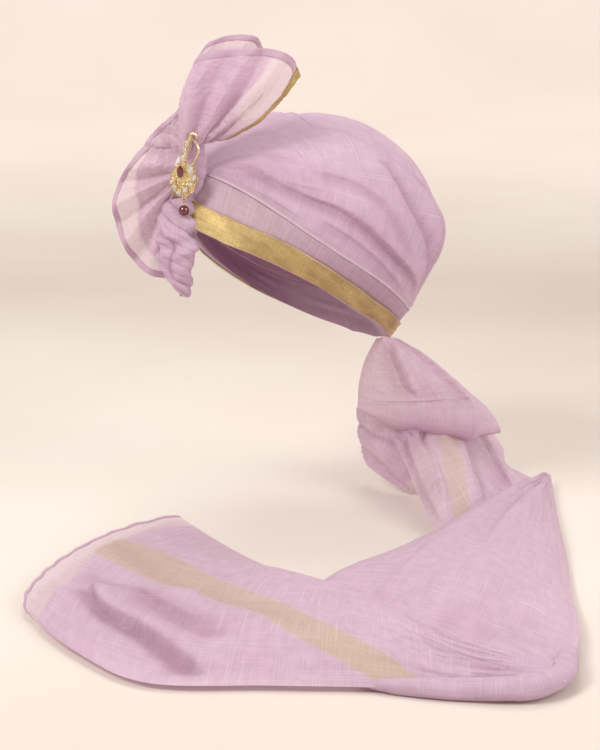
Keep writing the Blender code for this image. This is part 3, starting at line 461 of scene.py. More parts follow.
def voile(name, base=LILAC, thin=0.0, see=0.30):
    """Sheer cotton voile; the attributes sheer, stripe and shade vary it over a piece."""
    nodes = Nodes(name)
    uv, solid = nodes.place("UV"), nodes.place("Object")
    slub, height = threads(nodes, uv)
    cloud = nodes.noise(solid, 22.0, detail=4.0)
    mottle, fine = nodes.weave(uv, 120, 60, 3.0), nodes.weave(uv, 2600, 2600)
    sheer, stripe, shade = (nodes.grown(mark) for mark in MARKS)
    colour = nodes.mix(nodes.ramp(cloud, 0.35, 0.70, 0.0, 0.22), base, LILAC_PALE)
    colour = nodes.mix(nodes.ramp(mottle, 0.40, 0.62, 0.34, 0.0), colour, tuple(c * 0.74 for c in base))
    colour = nodes.mix(nodes.ramp(fine, 0.35, 0.65, 0.14, 0.0), colour, tuple(c * 0.70 for c in base))
    colour = nodes.mix(nodes.times(sheer, 0.72), colour, SHEER_TONE)
    colour = nodes.mix(nodes.times(stripe, nodes.ramp(mottle, 0.3, 0.6, 0.88, 1.0)), colour, BEIGE)
    colour = nodes.mix(nodes.times(slub, 0.52), colour, SLUB)
    colour = nodes.mix(nodes.times(shade, 0.9, True), colour, SHADOW, "MULTIPLY")
    bump = nodes.bump(height, 0.35, 0.0004)
    cloth = nodes.add(
        "BsdfPrincipled", Base_Color=colour, Roughness=0.88, Normal=bump, Specular_IOR_Level=0.12,
        Sheen_Weight=0.35, Sheen_Roughness=0.45, Sheen_Tint=(1.0, 0.90, 0.98),
    )
    through = nodes.add("BsdfTranslucent", Color=colour, Normal=bump)
    lit = nodes.add("MixShader", i0=0.32, i1=cloth.outputs[0], i2=through.outputs[0])
    holes = nodes.math("ADD", thin, nodes.times(sheer, see), clamp=True)
    holes = nodes.times(holes, nodes.ramp(fine, 0.3, 0.7, 0.75, 1.15))
    holes = nodes.times(holes, nodes.math("SUBTRACT", 1.0, nodes.times(slub, 0.7)), True)
    clear = nodes.add("BsdfTransparent")
    return nodes.done(nodes.add("MixShader", i0=holes, i1=lit.outputs[0], i2=clear.outputs[0]))


def zari(name):
    """Cloth woven with flat gold thread: close ribs, fine crossing threads, and small smooth glints painted bright
    into its colour as highlights.
    """
    nodes = Nodes(name)
    uv = nodes.place("UV")
    rib = nodes.add(
        "TexWave", {"bands_direction": "Y"}, Vector=uv, Scale=330.0, Distortion=1.2, Detail=2.0, Detail_Scale=6.0,
    )
    cross, along = nodes.weave(uv, 1700, 90), nodes.weave(uv, 60, 2200)
    patch, glint = nodes.weave(uv, 32, 60, 2.0), nodes.weave(uv, 1500, 1500, 0.0)
    # painted highlight: glints inside the brighter patches, lightened towards pale gold in the colour below
    painted_glint = nodes.times(nodes.ramp(glint, 0.66, 0.74), nodes.ramp(patch, 0.45, 0.62))
    tone = nodes.mix(nodes.ramp(patch, 0.3, 0.7), (0.42, 0.300, 0.125), (0.68, 0.510, 0.215))
    tone = nodes.mix(nodes.ramp(along, 0.45, 0.70, 0.0, 0.55), tone, (0.27, 0.185, 0.08))
    tone = nodes.mix(nodes.ramp(cross, 0.55, 0.75, 0.0, 0.50), tone, (0.74, 0.58, 0.30))
    tone = nodes.mix(painted_glint, tone, (1.0, 0.85, 0.45))
    rough = nodes.ramp(glint, 0.35, 0.70, 0.56, 0.34)
    lumps = nodes.math("ADD", nodes.times(rib.outputs["Fac"], 0.6), nodes.math("ADD", cross, along))
    bump = nodes.bump(lumps, 0.6, 0.0003)
    return nodes.done(nodes.add("BsdfPrincipled", Base_Color=tone, Metallic=0.62, Roughness=rough, Normal=bump))


def thread_material():
    nodes = Nodes("sewing_thread")
    tone = nodes.mix(nodes.noise(nodes.place("Object"), 900.0), (0.56, 0.30, 0.48), (0.76, 0.52, 0.68))
    return nodes.done(nodes.add("BsdfPrincipled", Base_Color=tone, Roughness=0.75))


def gold_material():
    nodes = Nodes("gold")
    solid = nodes.place("Object")
    wear = nodes.noise(solid, 420.0, detail=3.0)
    tone = nodes.mix(nodes.ramp(wear, 0.35, 0.65), (0.70, 0.53, 0.27), (0.93, 0.79, 0.50))
    rough = nodes.ramp(wear, 0.3, 0.7, 0.16, 0.32)
    bump = nodes.bump(nodes.noise(solid, 1500.0), 0.5, 0.0003)
    return nodes.done(nodes.add("BsdfPrincipled", Base_Color=tone, Metallic=1.0, Roughness=rough, Normal=bump))


def stone_material(name, deep, glow, clear):
    """A polished stone: clear glass over a foil that varies inside it."""
    nodes = Nodes(name)
    vein = nodes.noise(nodes.place("Object"), 700.0)
    tone = nodes.mix(nodes.ramp(vein, 0.35, 0.65), deep, glow)
    return nodes.done(nodes.add(
        "BsdfPrincipled", Base_Color=tone, Roughness=0.05, Metallic=0.0, IOR=1.75, Coat_Weight=0.6,
        Transmission_Weight=clear,
    ))


def link_mesh(name, grid, faces, material, uv=None, **marks):
    """A mesh piece; uv is its distance along and across in metres, marks its values point by point."""
    data = bpy.data.meshes.new(name)
    data.from_pydata([tuple(p) for p in np.reshape(grid, (-1, 3))], [], faces)
    data.materials.append(material)
    if uv is not None:
        pairs = np.stack(np.broadcast_arrays(*uv), axis=-1).reshape(-1, 2)
        layer = data.uv_layers.new(name="weave")
        index = np.empty(len(data.loops), int)
        data.loops.foreach_get("vertex_index", index)
        layer.data.foreach_set("uv", np.asarray(pairs, np.float32)[index].ravel())
    for key in MARKS if marks else ():
        values = np.broadcast_to(np.asarray(marks.get(key, 0.0), np.float32), np.shape(grid)[:-1])
        data.attributes.new(key, "FLOAT", "POINT").data.foreach_set("value", values.ravel())
    data.polygons.foreach_set("use_smooth", [True] * len(data.polygons))
    data.update()
    made = bpy.data.objects.new(name, data)
    bpy.context.scene.collection.objects.link(made)
    return made


def quads(rows, columns, start=0, around=False, turned=False):
    faces = []
    for i in range(rows - 1):
        for j in range(columns if around else columns - 1):
            k = (j + 1) % columns
            face = [start + i * columns + j, start + (i + 1) * columns + j,
                    start + (i + 1) * columns + k, start + i * columns + k]
            faces.append(face[::-1] if turned else face)
    return faces


def tube(rows, columns):
    """The faces of a tube over a grid, with its two ends."""
    last = (rows - 1) * columns
    return quads(rows, columns, around=True) + [list(range(columns))[::-1], list(range(last, last + columns))]


def hoop(rows, columns):
    """The faces over a grid that closes on itself both ways."""
    faces = []
    for i in range(rows):
        for j in range(columns):
            k, m = (i + 1) % rows, (j + 1) % columns
            faces.append([i * columns + m, k * columns + m, k * columns + j, i * columns + j])
    return faces


def joined(parts):
    """Several lists of points, each with its faces, as one."""
    points, faces = [], []
    for more, sides in parts:
        start = len(points)
        points.extend(more)
        faces.extend([[start + i for i in side] for side in sides])
    return points, faces


def measured(grid):
    """UVs of a grid in metres: distance along its columns and across its rows."""
    along = np.zeros(grid.shape[:2])
    along[1:] = np.cumsum(np.linalg.norm(np.diff(grid, axis=0), axis=-1), axis=0)
    across = np.zeros(grid.shape[:2])
    across[:, 1:] = np.cumsum(np.linalg.norm(np.diff(grid, axis=1), axis=-1), axis=1)
    return along, across


def own(piece, node):
    """The piece rides on the turban's one body, and stands for a solid where one is named."""
    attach(piece, "root")
    if node:
        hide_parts(node)
    return piece


def cloth(name, grid, material, size=None, **marks):
    """One layer of cloth over a grid; size is its length and width where the weave runs straight."""
    rows, columns = grid.shape[:2]
    place, across = square(rows, columns)
    uv = measured(grid) if size is None else (place * size[0], across * size[1])
    return link_mesh(name, grid, quads(rows, columns), material, uv, **marks)


def strip(name, line, inward, face, wide, thick, material, seed=1, pucker=0.5):
    """A folded hem along a line: a flat rolled tube that reaches inwards over the cloth."""
    path, at = resample(line, 0.0016)
    far = lengths(line)
    lean, out = unit(between(at, far, inward)), unit(between(at, far, face))
    a = angles(14)
    draws = np.random.default_rng(seed).uniform(0, math.tau, 3)
    puff = 1 + pucker * 0.5 * np.sin(at / 0.0046 + draws[0]) * np.sin(at / 0.0170 + draws[1]) ** 2
    puff = (puff + 0.22 * pucker * np.sin(at / 0.0021 + draws[2]))[:, None]
    flat = np.sign(np.sin(a)) * np.abs(np.sin(a)) ** 0.55 * (0.78 + 0.30 * np.cos(2 * a) ** 2)
    reach = wide * (0.46 - 0.54 * np.cos(a))[None]
    wave = (0.00022 * np.sin(at / 0.0061 + draws[1]))[:, None, None]
    swell = (thick / 2 * flat[None] * puff)[..., None]
    grid = path[:, None] + reach[..., None] * lean[:, None] + swell * out[:, None] + wave * out[:, None]
    uv = at[:, None], (wide * a / 3)[None]
    shade = 0.06 + 0.06 * np.sin(at / 0.0046)[:, None]
    return link_mesh(name, grid, tube(*grid.shape[:2]), material, uv, sheer=0.22, shade=shade)


def stitches(name, line, face, material, step=STITCH, share=0.62, thread=THREAD, sink=0.3):
    """A row of running stitches as one joined mesh."""
    path, at = resample(line, step)
    out = unit(between(at, lengths(line), face))
    made = []
    for i in range(len(path) - 1):
        run = path[i + 1] - path[i]
        length = np.linalg.norm(run)
        run = run / max(length, 1e-9)
        side = unit(np.cross(run, out[i]))
        up = np.cross(side, run)
        points = []
        for t, r in ((0.0, 0.35), (0.25, 1.0), (0.75, 1.0), (1.0, 0.35)):
            mid = path[i] + run * length * share * t + out[i] * thread * (0.8 - sink)
            points += [mid + thread * r * (math.cos(b) * side + math.sin(b) * up) for b in angles(6)]
        made.append((points, tube(4, 6)))
    return link_mesh(name, *joined(made), material)


# The crown
BASE_MID = np.array([0.0, (CROWN_FRONT[0] + CROWN_BACK[0]) / 2, (CROWN_FRONT[1] + CROWN_BACK[1]) / 2])
BASE_SPAN = np.array([0.0, CROWN_BACK[0] - CROWN_FRONT[0], CROWN_BACK[1] - CROWN_FRONT[1]])
HALF_SPAN = float(np.linalg.norm(BASE_SPAN)) / 2
ALONG = BASE_SPAN / (2 * HALF_SPAN)
SIDE = np.array([1.0, 0.0, 0.0])
RAISE = np.cross(SIDE, ALONG)


def crown_point(place, share, lift=0.0, wall_in=0.0):
    """A point along the crown from front to back and over it from left to right."""
    form = spline(CROWN_FORM, place)
    left, right = np.radians(form[..., 0]), np.radians(form[..., 1])
    u = np.pi * np.asarray(place, float)
    v = -left + share * (np.pi + right + left)
    tall = CROWN_SIZE * form[..., 2] + lift - wall_in
    side = CROWN_SIZE * form[..., 3] + lift - wall_in
    half = HALF_SPAN - wall_in
    out = np.sin(u)
    return (
        BASE_MID
        - (half * np.cos(u))[..., None] * ALONG
        + (out * np.cos(v) * side)[..., None] * SIDE
        + (out * np.sin(v) * tall)[..., None] * RAISE
    )


def pleat_lift(place, share):
    """Soft pleats over the arch, and the cloth's pouch behind on the left."""
    edges = np.array([0.0] + [row[0] for row in CROWN_PLEATS] + [1.0])
    lifts = np.array([0.0] + [row[1] for row in CROWN_PLEATS] + [0.4])
    bent = share + 0.020 * np.sin(6.0 * place + 9.0 * share) * np.sin(np.pi * share)
    i = np.clip(np.searchsorted(edges, bent, side="right"), 1, len(edges) - 1)
    rise = np.clip((bent - edges[i - 1]) / (edges[i] - edges[i - 1]), 0, 1)
    swell = np.where(rise < 0.82, smooth(rise / 0.82), smooth((1 - rise) / 0.18))
    fade = np.sin(np.pi * place) ** 0.8
    flat = 0.0060 * bell((place - 0.50) / 0.10, (share - 0.37) / 0.10)
    pouch = POUCH * bell((place - 0.67) / 0.10, (share - 0.16) / 0.065)
    return fade * (PLEAT * lifts[i] * swell * 0.9 + 0.0022) + pouch - flat


def crown_relief(p, s):
    """The crown's folds: the drawn ones, gathers near the brooch and the nape, and wrinkles."""
    lift, valley = pleat_lift(p, s), 0.0
    lift = lift + 0.0018 * bell(p / 0.20) * ripple(s, p, 19, 26, 2)
    for line, rise, slow, steep in CROWN_FOLDS.values():
        risen, hollow = fold(crown_point, p, s, line, rise, slow, steep)
        lift, valley = lift + risen, np.maximum(valley, hollow * min(1.0, abs(rise) / 0.0045))
    near = bell((p - 0.06) / 0.13)
    gather = ripple(s, p, 11, 46, 3) + 0.6 * ripple(s, p, 12, 90, 4)
    lift += 0.0013 * near * gather
    nape = bell((p - 0.70) / 0.10, s / 0.16)
    turn = np.arctan2(s + 0.02, (p - 0.67) * 1.2)
    lift += 0.0016 * nape * ripple(turn / math.pi, p, 13, 26, 3)
    warp = s + 0.03 * ripple(p, s, 14, 5, 5)
    lift += 0.0006 * ripple(p, warp, 15, 6, 30) * np.sin(np.pi * p)
    lift += 0.00025 * ripple(p, warp, 16, 20, 60)
    lift += 0.0010 * ripple(p, s, 17, 9, 9)
    return lift * (1 - 0.75 * bell(s / 0.012)), valley


def crown_edges(places, wall_in, relief=None):
    """The crown's lower edge, front to back on the left and back to front on the right."""
    zeros, ones = np.zeros_like(places), np.ones_like(places)
    lifts = [0.0, 0.0] if relief is None else relief
    left = crown_point(places, zeros, lifts[0], wall_in)
    right = crown_point(places, ones, lifts[1], wall_in)
    return np.concatenate([left, right[-2:0:-1]])


def rim_loop(places, wide, long):
    """The turban's lower edge, taken at the same places as crown_edges."""
    turns = np.concatenate([np.pi * places, -np.pi * places[-2:0:-1]])
    height = RIM_RISE * spline(RIM, np.degrees(turns))[..., 0]
    return np.stack([wide * np.sin(turns), -long * np.cos(turns), height], axis=-1)


def crown_places(count):
    even = np.linspace(0, np.pi, count)
    return (1 - np.cos(even)) / 2 * 0.35 + np.linspace(0, 1, count) * 0.65


def build_crown(material, pale):
    """The dome's two faces as one mesh, and a pale selvedge along each of its lower edges."""
    p, s = np.meshgrid(crown_places(CROWN_ROWS), np.linspace(0, 1, 320), indexing="ij")
    relief, valley = crown_relief(p, s)
    outer = crown_point(p, s, relief)
    q, t = np.meshgrid(crown_places(90), np.linspace(0, 1, 110), indexing="ij")
    faint = 0.0012 * ripple(q, t + 0.04 * ripple(q, t, 21, 4, 4), 22, 5, 26)
    inner = crown_point(q, t, faint, CROWN_WALL)
    wide = 0.45 + 0.55 * np.sin(np.pi * p)
    uv = [np.concatenate([(p * 0.34).ravel(), (q * 0.34).ravel()]),
          np.concatenate([(s * 0.40 * wide).ravel(), (t * 0.36).ravel()])]
    points = np.concatenate([outer.reshape(-1, 3), inner.reshape(-1, 3)])
    start = outer.shape[0] * outer.shape[1]
    faces = quads(*outer.shape[:2], turned=True) + quads(*inner.shape[:2], start)
    soft = 0.14 * smooth(ripple(p, s, 18, 6, 9)) + 0.50 * valley
    shade = np.concatenate([soft.ravel(), np.full(q.size, 0.45)])
    low = bell(s / 0.045) * smooth((0.34 - p) / 0.22) * smooth(p / 0.05)
    pale_edge = smooth((0.011 - s) / 0.003) + smooth((s - 0.989) / 0.003)
    sheer = np.concatenate([np.clip(0.35 * low + 0.3 * pale_edge, 0, 1).ravel(), np.zeros(q.size)])
    crown = link_mesh("crown_cloth", points, faces, material, uv, sheer=sheer, shade=shade)
    own(crown, "crown_wrap")
    for name, edge, inner_row, seed in (("near", 0, 5, 11), ("far", -1, -6, 12)):
        line, inward = outer[6:-6, edge], outer[6:-6, inner_row] - outer[6:-6, edge]
        face = unit(np.cross(np.gradient(line, axis=0), inward))
        face *= np.sign(np.sum(face * (line - BASE_MID), axis=-1, keepdims=True))
        line = line + face * 0.0003
        selvedge = strip("crown_selvedge_" + name, line, inward, face, 0.0020, 0.0007, pale, seed, 0.25)
        own(selvedge, None)
    return relief


def build_brim(material, relief):
    """The wraps below the crown's edge, down to the rim and up again inside it."""
    places = crown_places(150)
    edge_lift = [np.interp(places, crown_places(CROWN_ROWS), relief[:, k]) for k in (0, -1)]
    top = crown_edges(places, 0.0, edge_lift) - RAISE * UNDER_CROWN
    top_in = crown_edges(places, CROWN_WALL) - RAISE * UNDER_CROWN
    bottom = rim_loop(places, RIM_WIDE, RIM_LONG)
    bottom_in = rim_loop(places, HEAD_WIDE, HEAD_LONG)
    t = np.linspace(0, 1, 20)[None, :, None]
    rise = unit(top - bottom)
    round_ = unit(np.roll(bottom, -1, axis=0) - np.roll(bottom, 1, axis=0))
    out = unit(np.cross(round_, rise))
    out *= np.sign(np.sum(out * bottom * [1, 1, 0], axis=-1, keepdims=True))
    turn = np.linspace(0, 1, len(bottom))
    u, v = np.meshgrid(turn, t.ravel(), indexing="ij")
    wrap = 0.0008 * ripple(u, v, 31, 40, 3) + 0.0009 * ripple(u, v, 32, 9, 6)
    swell = out[:, None] * (wrap * np.sin(np.pi * v))[..., None]
    outer = bottom[:, None] + (top - bottom)[:, None] * t + swell * 0.8
    inner = top_in[:, None] + (bottom_in - top_in)[:, None] * t + swell
    cap = top[:, None] + (top_in - top)[:, None] * np.array([0.33, 0.66])[None, :, None]
    grid = np.concatenate([outer, cap, inner], axis=1)
    faces = hoop(*grid.shape[:2])
    far = np.cumsum(np.linalg.norm(np.roll(bottom, -1, axis=0) - bottom, axis=1))
    uv = far[:, None], np.arange(grid.shape[1]) * 0.003
    sheer = np.zeros(grid.shape[:2])
    sheer[:, :20] = 0.20 * bell((turn - 0.10) / 0.07)[:, None]
    shade = np.full(grid.shape[:2], 0.40)
    shade[:, :20] = 0.10 * smooth(np.linspace(0, 1, 20) * 3 - 1.6)
    brim = link_mesh("brim_cloth", grid, faces, material, uv, sheer=sheer, stripe=0.7 * sheer, shade=shade)
    own(brim, "brim_wrap")
    return bottom, out, rise


def build_band(material, thread, bottom, out, rise):
    """The woven gold band over the rim, with a sewn thread along both of its edges."""
    index = np.linspace(0, len(bottom), 560, endpoint=False)

    def fine(loop):
        closed = np.concatenate([loop, loop[:1]])
        return spline(np.column_stack([np.arange(len(closed)), closed]), index)

    low, away, lift = fine(bottom), unit(fine(out)), unit(fine(rise))
    t = np.linspace(0, 1, 22)
    u, v = np.meshgrid(index / len(bottom), t, indexing="ij")
    wave = 0.00045 * ripple(u, v, 41, 34, 3) + 0.00022 * ripple(u, v, 42, 110, 8) * np.sin(np.pi * v)
    wave += 0.00050 * bell((v - 0.55 - 0.18 * np.sin(u * 25)) / 0.16) * smooth(ripple(u, v, 43, 16, 1) * 2)
    bulge = BAND_SEAT + 0.0012 + 0.0004 * np.sin(np.pi * v) + wave
    edge = 0.00035 * ripple(u, v, 44, 60, 1)
    line = low[:, None] + lift[:, None] * (BAND_TALL * v + edge)[..., None]
    face, back = line + away[:, None] * bulge[..., None], line + away[:, None] * BAND_SEAT
    grid = np.concatenate([face, back[:, ::-1]], axis=1)
    faces = hoop(*grid.shape[:2])
    far = np.cumsum(np.linalg.norm(np.roll(low, -1, axis=0) - low, axis=1))
    uv = far[:, None], np.concatenate([t, t[::-1]]) * BAND_TALL
    own(link_mesh("band_of_gold_thread", grid, faces, material, uv), "gold_band")
    for name, at in (("band_lower_thread", 0.035), ("band_upper_thread", 0.965)):
        line = low + lift * BAND_TALL * at + away * 0.0022
        closed = np.concatenate([line, line[:1]])
        row = stitches(name, closed, np.concatenate([away, away[:1]]), thread, 0.0019, 0.72, 0.00026, 0.1)
        own(row, None)


# The fans
def from_knot(out, up, fore):
    """A point seen from the left front: out to its right, up, and fore towards it."""
    c, s = math.cos(VIEW_TURN), math.sin(VIEW_TURN)
    x = KNOT_AT[0] + c * out + s * fore
    y = KNOT_AT[1] + s * out - c * fore
    return np.stack([x, y, KNOT_AT[2] + up], axis=-1)


def fan_grid(ribs, rows, columns, seat, weight):
    """Ribs interpolated across the fan; each one bows between its root and its tip."""
    across = spline(evenly(ribs), np.linspace(0, 1, columns)) * FAN
    r = np.linspace(0, 1, rows)[:, None, None]
    root, tip, bow = across[:, 0:3], across[:, 3:6], across[:, 6:9]
    place = root + (tip - root) * r + 4 * r * (1 - r) * bow
    grid = from_knot(place[..., 0], place[..., 1], place[..., 2])
    return grid + seat * np.reshape(weight(r), (-1, 1, 1))


def gathered(grid, seed, pleats, rise, root=0.35):
    """Adds gathers that are tight at the root and open towards the tip, and small wrinkles."""
    rows, columns = grid.shape[:2]
    r, c = square(rows, columns)
    out = normals(grid)
    bent = c + 0.05 * ripple(r, c, seed, 3, 4)
    tight = bell(r / root) * smooth(r / 0.05)
    lift = rise * tight * ripple(bent, r, seed + 1, pleats, 2)
    lift += 0.35 * rise * ripple(bent, r, seed + 2, pleats // 2, 3) * smooth(r / 0.2)
    lift += 0.00045 * ripple(r, bent, seed + 3, 14, 40) + 0.0008 * ripple(r, c, seed + 4, 5, 7)
    lift += 0.00030 * ripple(r, c, seed + 5, 40, 30)
    return grid + out * lift[..., None]


def tip_hem(name, grid, material, thread, wide, seed, last=None):
    """The stitched hem along a fan's free edge, with a row of stitches on both of its faces."""
    line = grid[-1, :last]
    inward = grid[-8, :last] - line
    face = normals(grid)[-1, :last]
    pieces = [own(strip(name, line, inward, face, wide, HEM_THICK, material, seed), None)]
    for side, where in ((1, "front"), (-1, "back")):
        row = line + unit(inward) * wide * 0.86 + face * side * HEM_THICK * 0.30
        sewn = stitches(f"{name}_stitches_{where}", row, face * side, thread)
        pieces.append(own(sewn, None))
    return pieces


def level(r):
    return 1 + 0 * r


def fading(r):
    return 1 - r


def build_fans(material, thread, gold):
    """The four fans, each one a gathered sheet, and the gold edge of the upper one."""
    back = gathered(fan_grid(BACK_FAN, 70, 120, AWAY * BACK_FAN_IN, level), 50, 18, 0.0022)
    r, c = square(70, 120)
    sheer = 0.25 + 0.5 * smooth((r - 0.86) / 0.05)
    piece = cloth("upper_fan_back_cloth", back, material, sheer=sheer, shade=0.18 * (1 - r))
    own(piece, "upper_fan_back")
    hems = tip_hem("upper_fan_back_hem", back, material, thread, 0.0050, 2)

    rows, columns = 80, 150
    front = gathered(fan_grid(UPPER_FAN, rows, columns, AWAY * UPPER_FAN_IN, level), 60, 20, 0.0016)
    r, c = square(rows, columns)
    ridge = bell((c - 0.60 - 0.10 * r) / 0.055) * smooth(r / 0.1) * smooth((1 - r) / 0.45)
    valley = bell((c - 0.70 - 0.10 * r) / 0.05) * smooth(r / 0.1) * smooth((1 - r) / 0.5)
    out = normals(front)
    out = out * np.sign(np.sum(out * -AWAY, axis=-1, keepdims=True))
    front = front + out * (0.0050 * ridge - 0.0035 * valley)[..., None]
    single = smooth((c - 0.62) / 0.05) * smooth((r - 0.35 + 0.9 * (c - 0.62)) / 0.20)
    sheer, shade = 0.12 + 0.80 * single, 0.30 * valley + 0.12 * (1 - r)
    last = columns - 7
    shown = slice(last + 1)
    piece = cloth("upper_fan_cloth", front[:, shown], material, sheer=sheer[:, shown], shade=shade[:, shown])
    own(piece, "upper_fan_front")
    hems = tip_hem("upper_fan_hem", front, material, thread, 0.0068, 3, last + 2)
    build_fan_border(front[:, last:], gold)

    middle = gathered(fan_grid(MID_FAN, 60, 110, OUTWARD * MID_FAN_IN, fading), 70, 12, 0.0016)
    r, c = square(60, 110)
    sheer = 0.20 + 0.45 * smooth((r - 0.80) / 0.06)
    piece = own(cloth("mid_fan_cloth", middle, material, sheer=sheer, shade=0.25 * (1 - r)), "mid_fan")
    hems = tip_hem("mid_fan_hem", middle, material, thread, 0.0052, 4)

    lower = gathered(fan_grid(LOWER_FAN, 80, 190, OUTWARD * LOWER_FAN_IN, fading), 80, 16, 0.0022)
    r, c = square(80, 190)
    wavy = r - 0.10 * np.sin(9 * c)
    sheer = 0.10 + 0.80 * smooth((wavy - 0.60) / 0.07)
    shade = 0.22 * (1 - smooth(r / 0.8)) + 0.25 * bell((wavy - 0.62) / 0.05)
    piece = own(cloth("lower_fan_cloth", lower, material, sheer=sheer, shade=shade), "lower_fan")
    hems = tip_hem("lower_fan_hem", lower, material, thread, 0.0056, 5)


def build_fan_border(edge, gold):
    """The gold edge of the upper fan: a thin band that widens towards its corner."""
    reach = unit(edge[:, -1] - edge[:, 0])
    wide = np.linspace(0, 1, 9)
    band_wide = (0.0044 + 0.0040 * np.linspace(0, 1, len(edge)) ** 4)[:, None]
    rib = edge[:, 0][:, None] + reach[:, None] * (band_wide * wide[None])[..., None]
    lift = normals(rib)
    top, low = rib + lift * 0.0008, rib - lift * 0.0008
    grid = np.concatenate([top, low[:, ::-1]], axis=1)
    wave = 0.0003 * ripple(*square(*grid.shape[:2]), 66, 26, 4)
    grid = grid + np.concatenate([lift, lift[:, ::-1]], axis=1) * wave[..., None]
    uv = lengths(rib[:, 0])[:, None], np.concatenate([wide, wide[::-1]]) * 0.005
    own(link_mesh("fan_gold_border", grid, tube(*grid.shape[:2]), gold, uv), "fan_border")
    build_corner_knot(rib[-1, -1], reach[-1], gold)


def build_corner_knot(at, reach, gold):
    """The knotted thread end at the gold border's top corner."""
    rows = []
    for t, r in ((0, 0.2), (0.15, 0.9), (0.4, 1.25), (0.6, 0.8), (0.75, 1.1), (0.92, 0.7), (1, 0.1)):
        middle = at + reach * 0.0045 * t - reach * 0.0015
        rows.append([middle + 0.0013 * r * (math.cos(b) * UP + math.sin(b) * AWAY) for b in angles(12)])
    grid = np.array(rows)
    faces, uv = quads(len(rows), 12, around=True), (grid[..., 0], grid[..., 1])
    own(link_mesh("fan_corner_knot", grid, faces, gold, uv), None)


def rolls(a, count, depth):
    """A section of rolled folds: round lobes with sharp valleys between them."""
    lobe = np.abs(np.sin(count * a / 2))
    return 1 + depth * (lobe ** 0.55 - 0.75)


def build_twist(material):
    rows, columns = 170, 120
    places = np.linspace(0, 1, rows)
    row = spline(TWIST, places)
    a = angles(columns)[None]
    turn = np.radians(row[:, 5])[:, None]
    p = places[:, None]
    lean = 1.5 * p + 0.9 * np.sin(6 * p)
    fine = ripple(*np.broadcast_arrays(p, a / math.tau), 90, 9, 14)
    bulge = rolls(a + turn + 2.0 * lean, 3, 0.42) * rolls(a + turn * 1.4 + 3.1 * p, 5, 0.14) + 0.06 * fine
    knuckle = 0.16 * bell((p - 0.34) / 0.22) * np.sin(34 * p + 2.6 * np.sin(a + 5 * p))
    bulge = bulge * (1 + knuckle)
    out = row[:, 0:1] + row[:, 3:4] * np.cos(a) * bulge
    fore = row[:, 2:3] + row[:, 4:5] * np.sin(a) * bulge
    up = row[:, 1:2] + 0.012 * np.sin(2 * a + 9 * p)
    grid = from_knot(out * FAN, up * FAN, fore * FAN)
    faces, uv = tube(rows, columns), (p * 0.08, a * 0.02)
    shade = np.clip((0.92 - bulge) * 2.8, 0, 0.9)
    twist = link_mesh("hanging_twist_cloth", grid, faces, material, uv, shade=shade)
    own(twist, "hanging_twist")


def build_knot(material):
    """The pleated lump that gathers the wraps; its pleats run down behind the brooch."""
    rows, columns = 90, 140
    places = np.linspace(0.04, 0.96, rows)
    a = angles(columns)[None]
    swell = np.sin(math.pi * places)[:, None] ** 0.6
    p = places[:, None]
    fanned = (p - 0.45) * (7.5 - 2.5 * np.cos(a)) + 0.12 * np.sin(3 * a)
    ridge = 0.97 + 0.16 * (np.abs(np.sin(math.pi * fanned)) ** 0.7 - 0.6) + 0.02 * np.sin(31 * fanned)
    out = -0.100 + 0.115 * np.cos(a) * swell * ridge
    fore = (0.062 - 0.030 * places)[:, None] + 0.045 * np.sin(a) * swell * ridge
    up = (-0.34 + 0.58 * places)[:, None] + 0.0 * a
    grid = from_knot(out * FAN, up * FAN, fore * FAN) + AWAY * KNOT_IN
    faces, uv = tube(rows, columns), (p * 0.06, a * 0.015)
    shade = np.clip((1.0 - ridge) * 1.8, 0, 0.5)
    knot = own(link_mesh("front_knot_cloth", grid, faces, material, uv, shade=shade), "front_knot")


# The tail
def tail_frame(points):
    """Turns the tail's own frame (right, away, up from the table), in shares, into the turban's."""
    c, s = math.cos(VIEW_TURN), math.sin(VIEW_TURN)
    right, away = points[..., 0] * TAIL, points[..., 1] * TAIL
    x = HANG_AT[0] - 0.464 * TAIL + c * right - s * away
    y = HANG_AT[1] - 0.649 * TAIL + s * right + c * away
    return np.stack([x, y, points[..., 2] * TAIL_UP - TABLE_DROP], axis=-1)


def inset(across, wide):
    """0 at both edges of a piece, and 1 from a little way in."""
    return np.minimum(1, np.minimum(across, 1 - across) / wide)


def keep_above(points, gap=CLOTH_GAP):
    """Lifts what would go through the table."""
    points[..., 2] = np.maximum(points[..., 2], -TABLE_DROP + gap)


def fold_lift(folds, place, across):
    lift = np.zeros_like(across)
    for start, end, rise, half, begin, stop in folds:
        middle = start + (end - start) * (place - begin) / (stop - begin)
        window = smooth((place - begin) / 0.12 + 0.5) * smooth((stop - place) / 0.12 + 0.5)
        lift += rise * window * bell((across - middle) / half)
    return lift


def tail_grid(rows, folds, length, width, bow=0.0):
    place, across = square(length, width)
    row = spline(rows, place)
    grid = row[..., 0:3] + (row[..., 3:6] - row[..., 0:3]) * across[..., None]
    grid[..., 0] -= bow * (4 * across * (1 - across)) ** 0.6 * (1 - smooth(place / 0.5))
    arch = 1 - np.abs(2 * across - 1) ** 2.6
    rise = row[..., 6] * arch + fold_lift(folds, place, across) * np.minimum(arch * 2, 1)
    return grid, rise, place, across


def drawn_folds(place, across, lines, size):
    """Folds drawn as lines over a tail piece, in shares of its two directions."""
    flat = lambda u, v: np.stack([u * size[0], v * size[1], 0 * u], axis=-1)
    lift, valley = np.zeros_like(place), np.zeros_like(place)
    for line, rise, slow, steep in lines:
        risen, hollow = fold(flat, place, across, line, rise, slow, steep)
        lift, valley = lift + risen, np.maximum(valley, hollow * min(1.0, abs(rise) / 0.006))
    return lift, valley


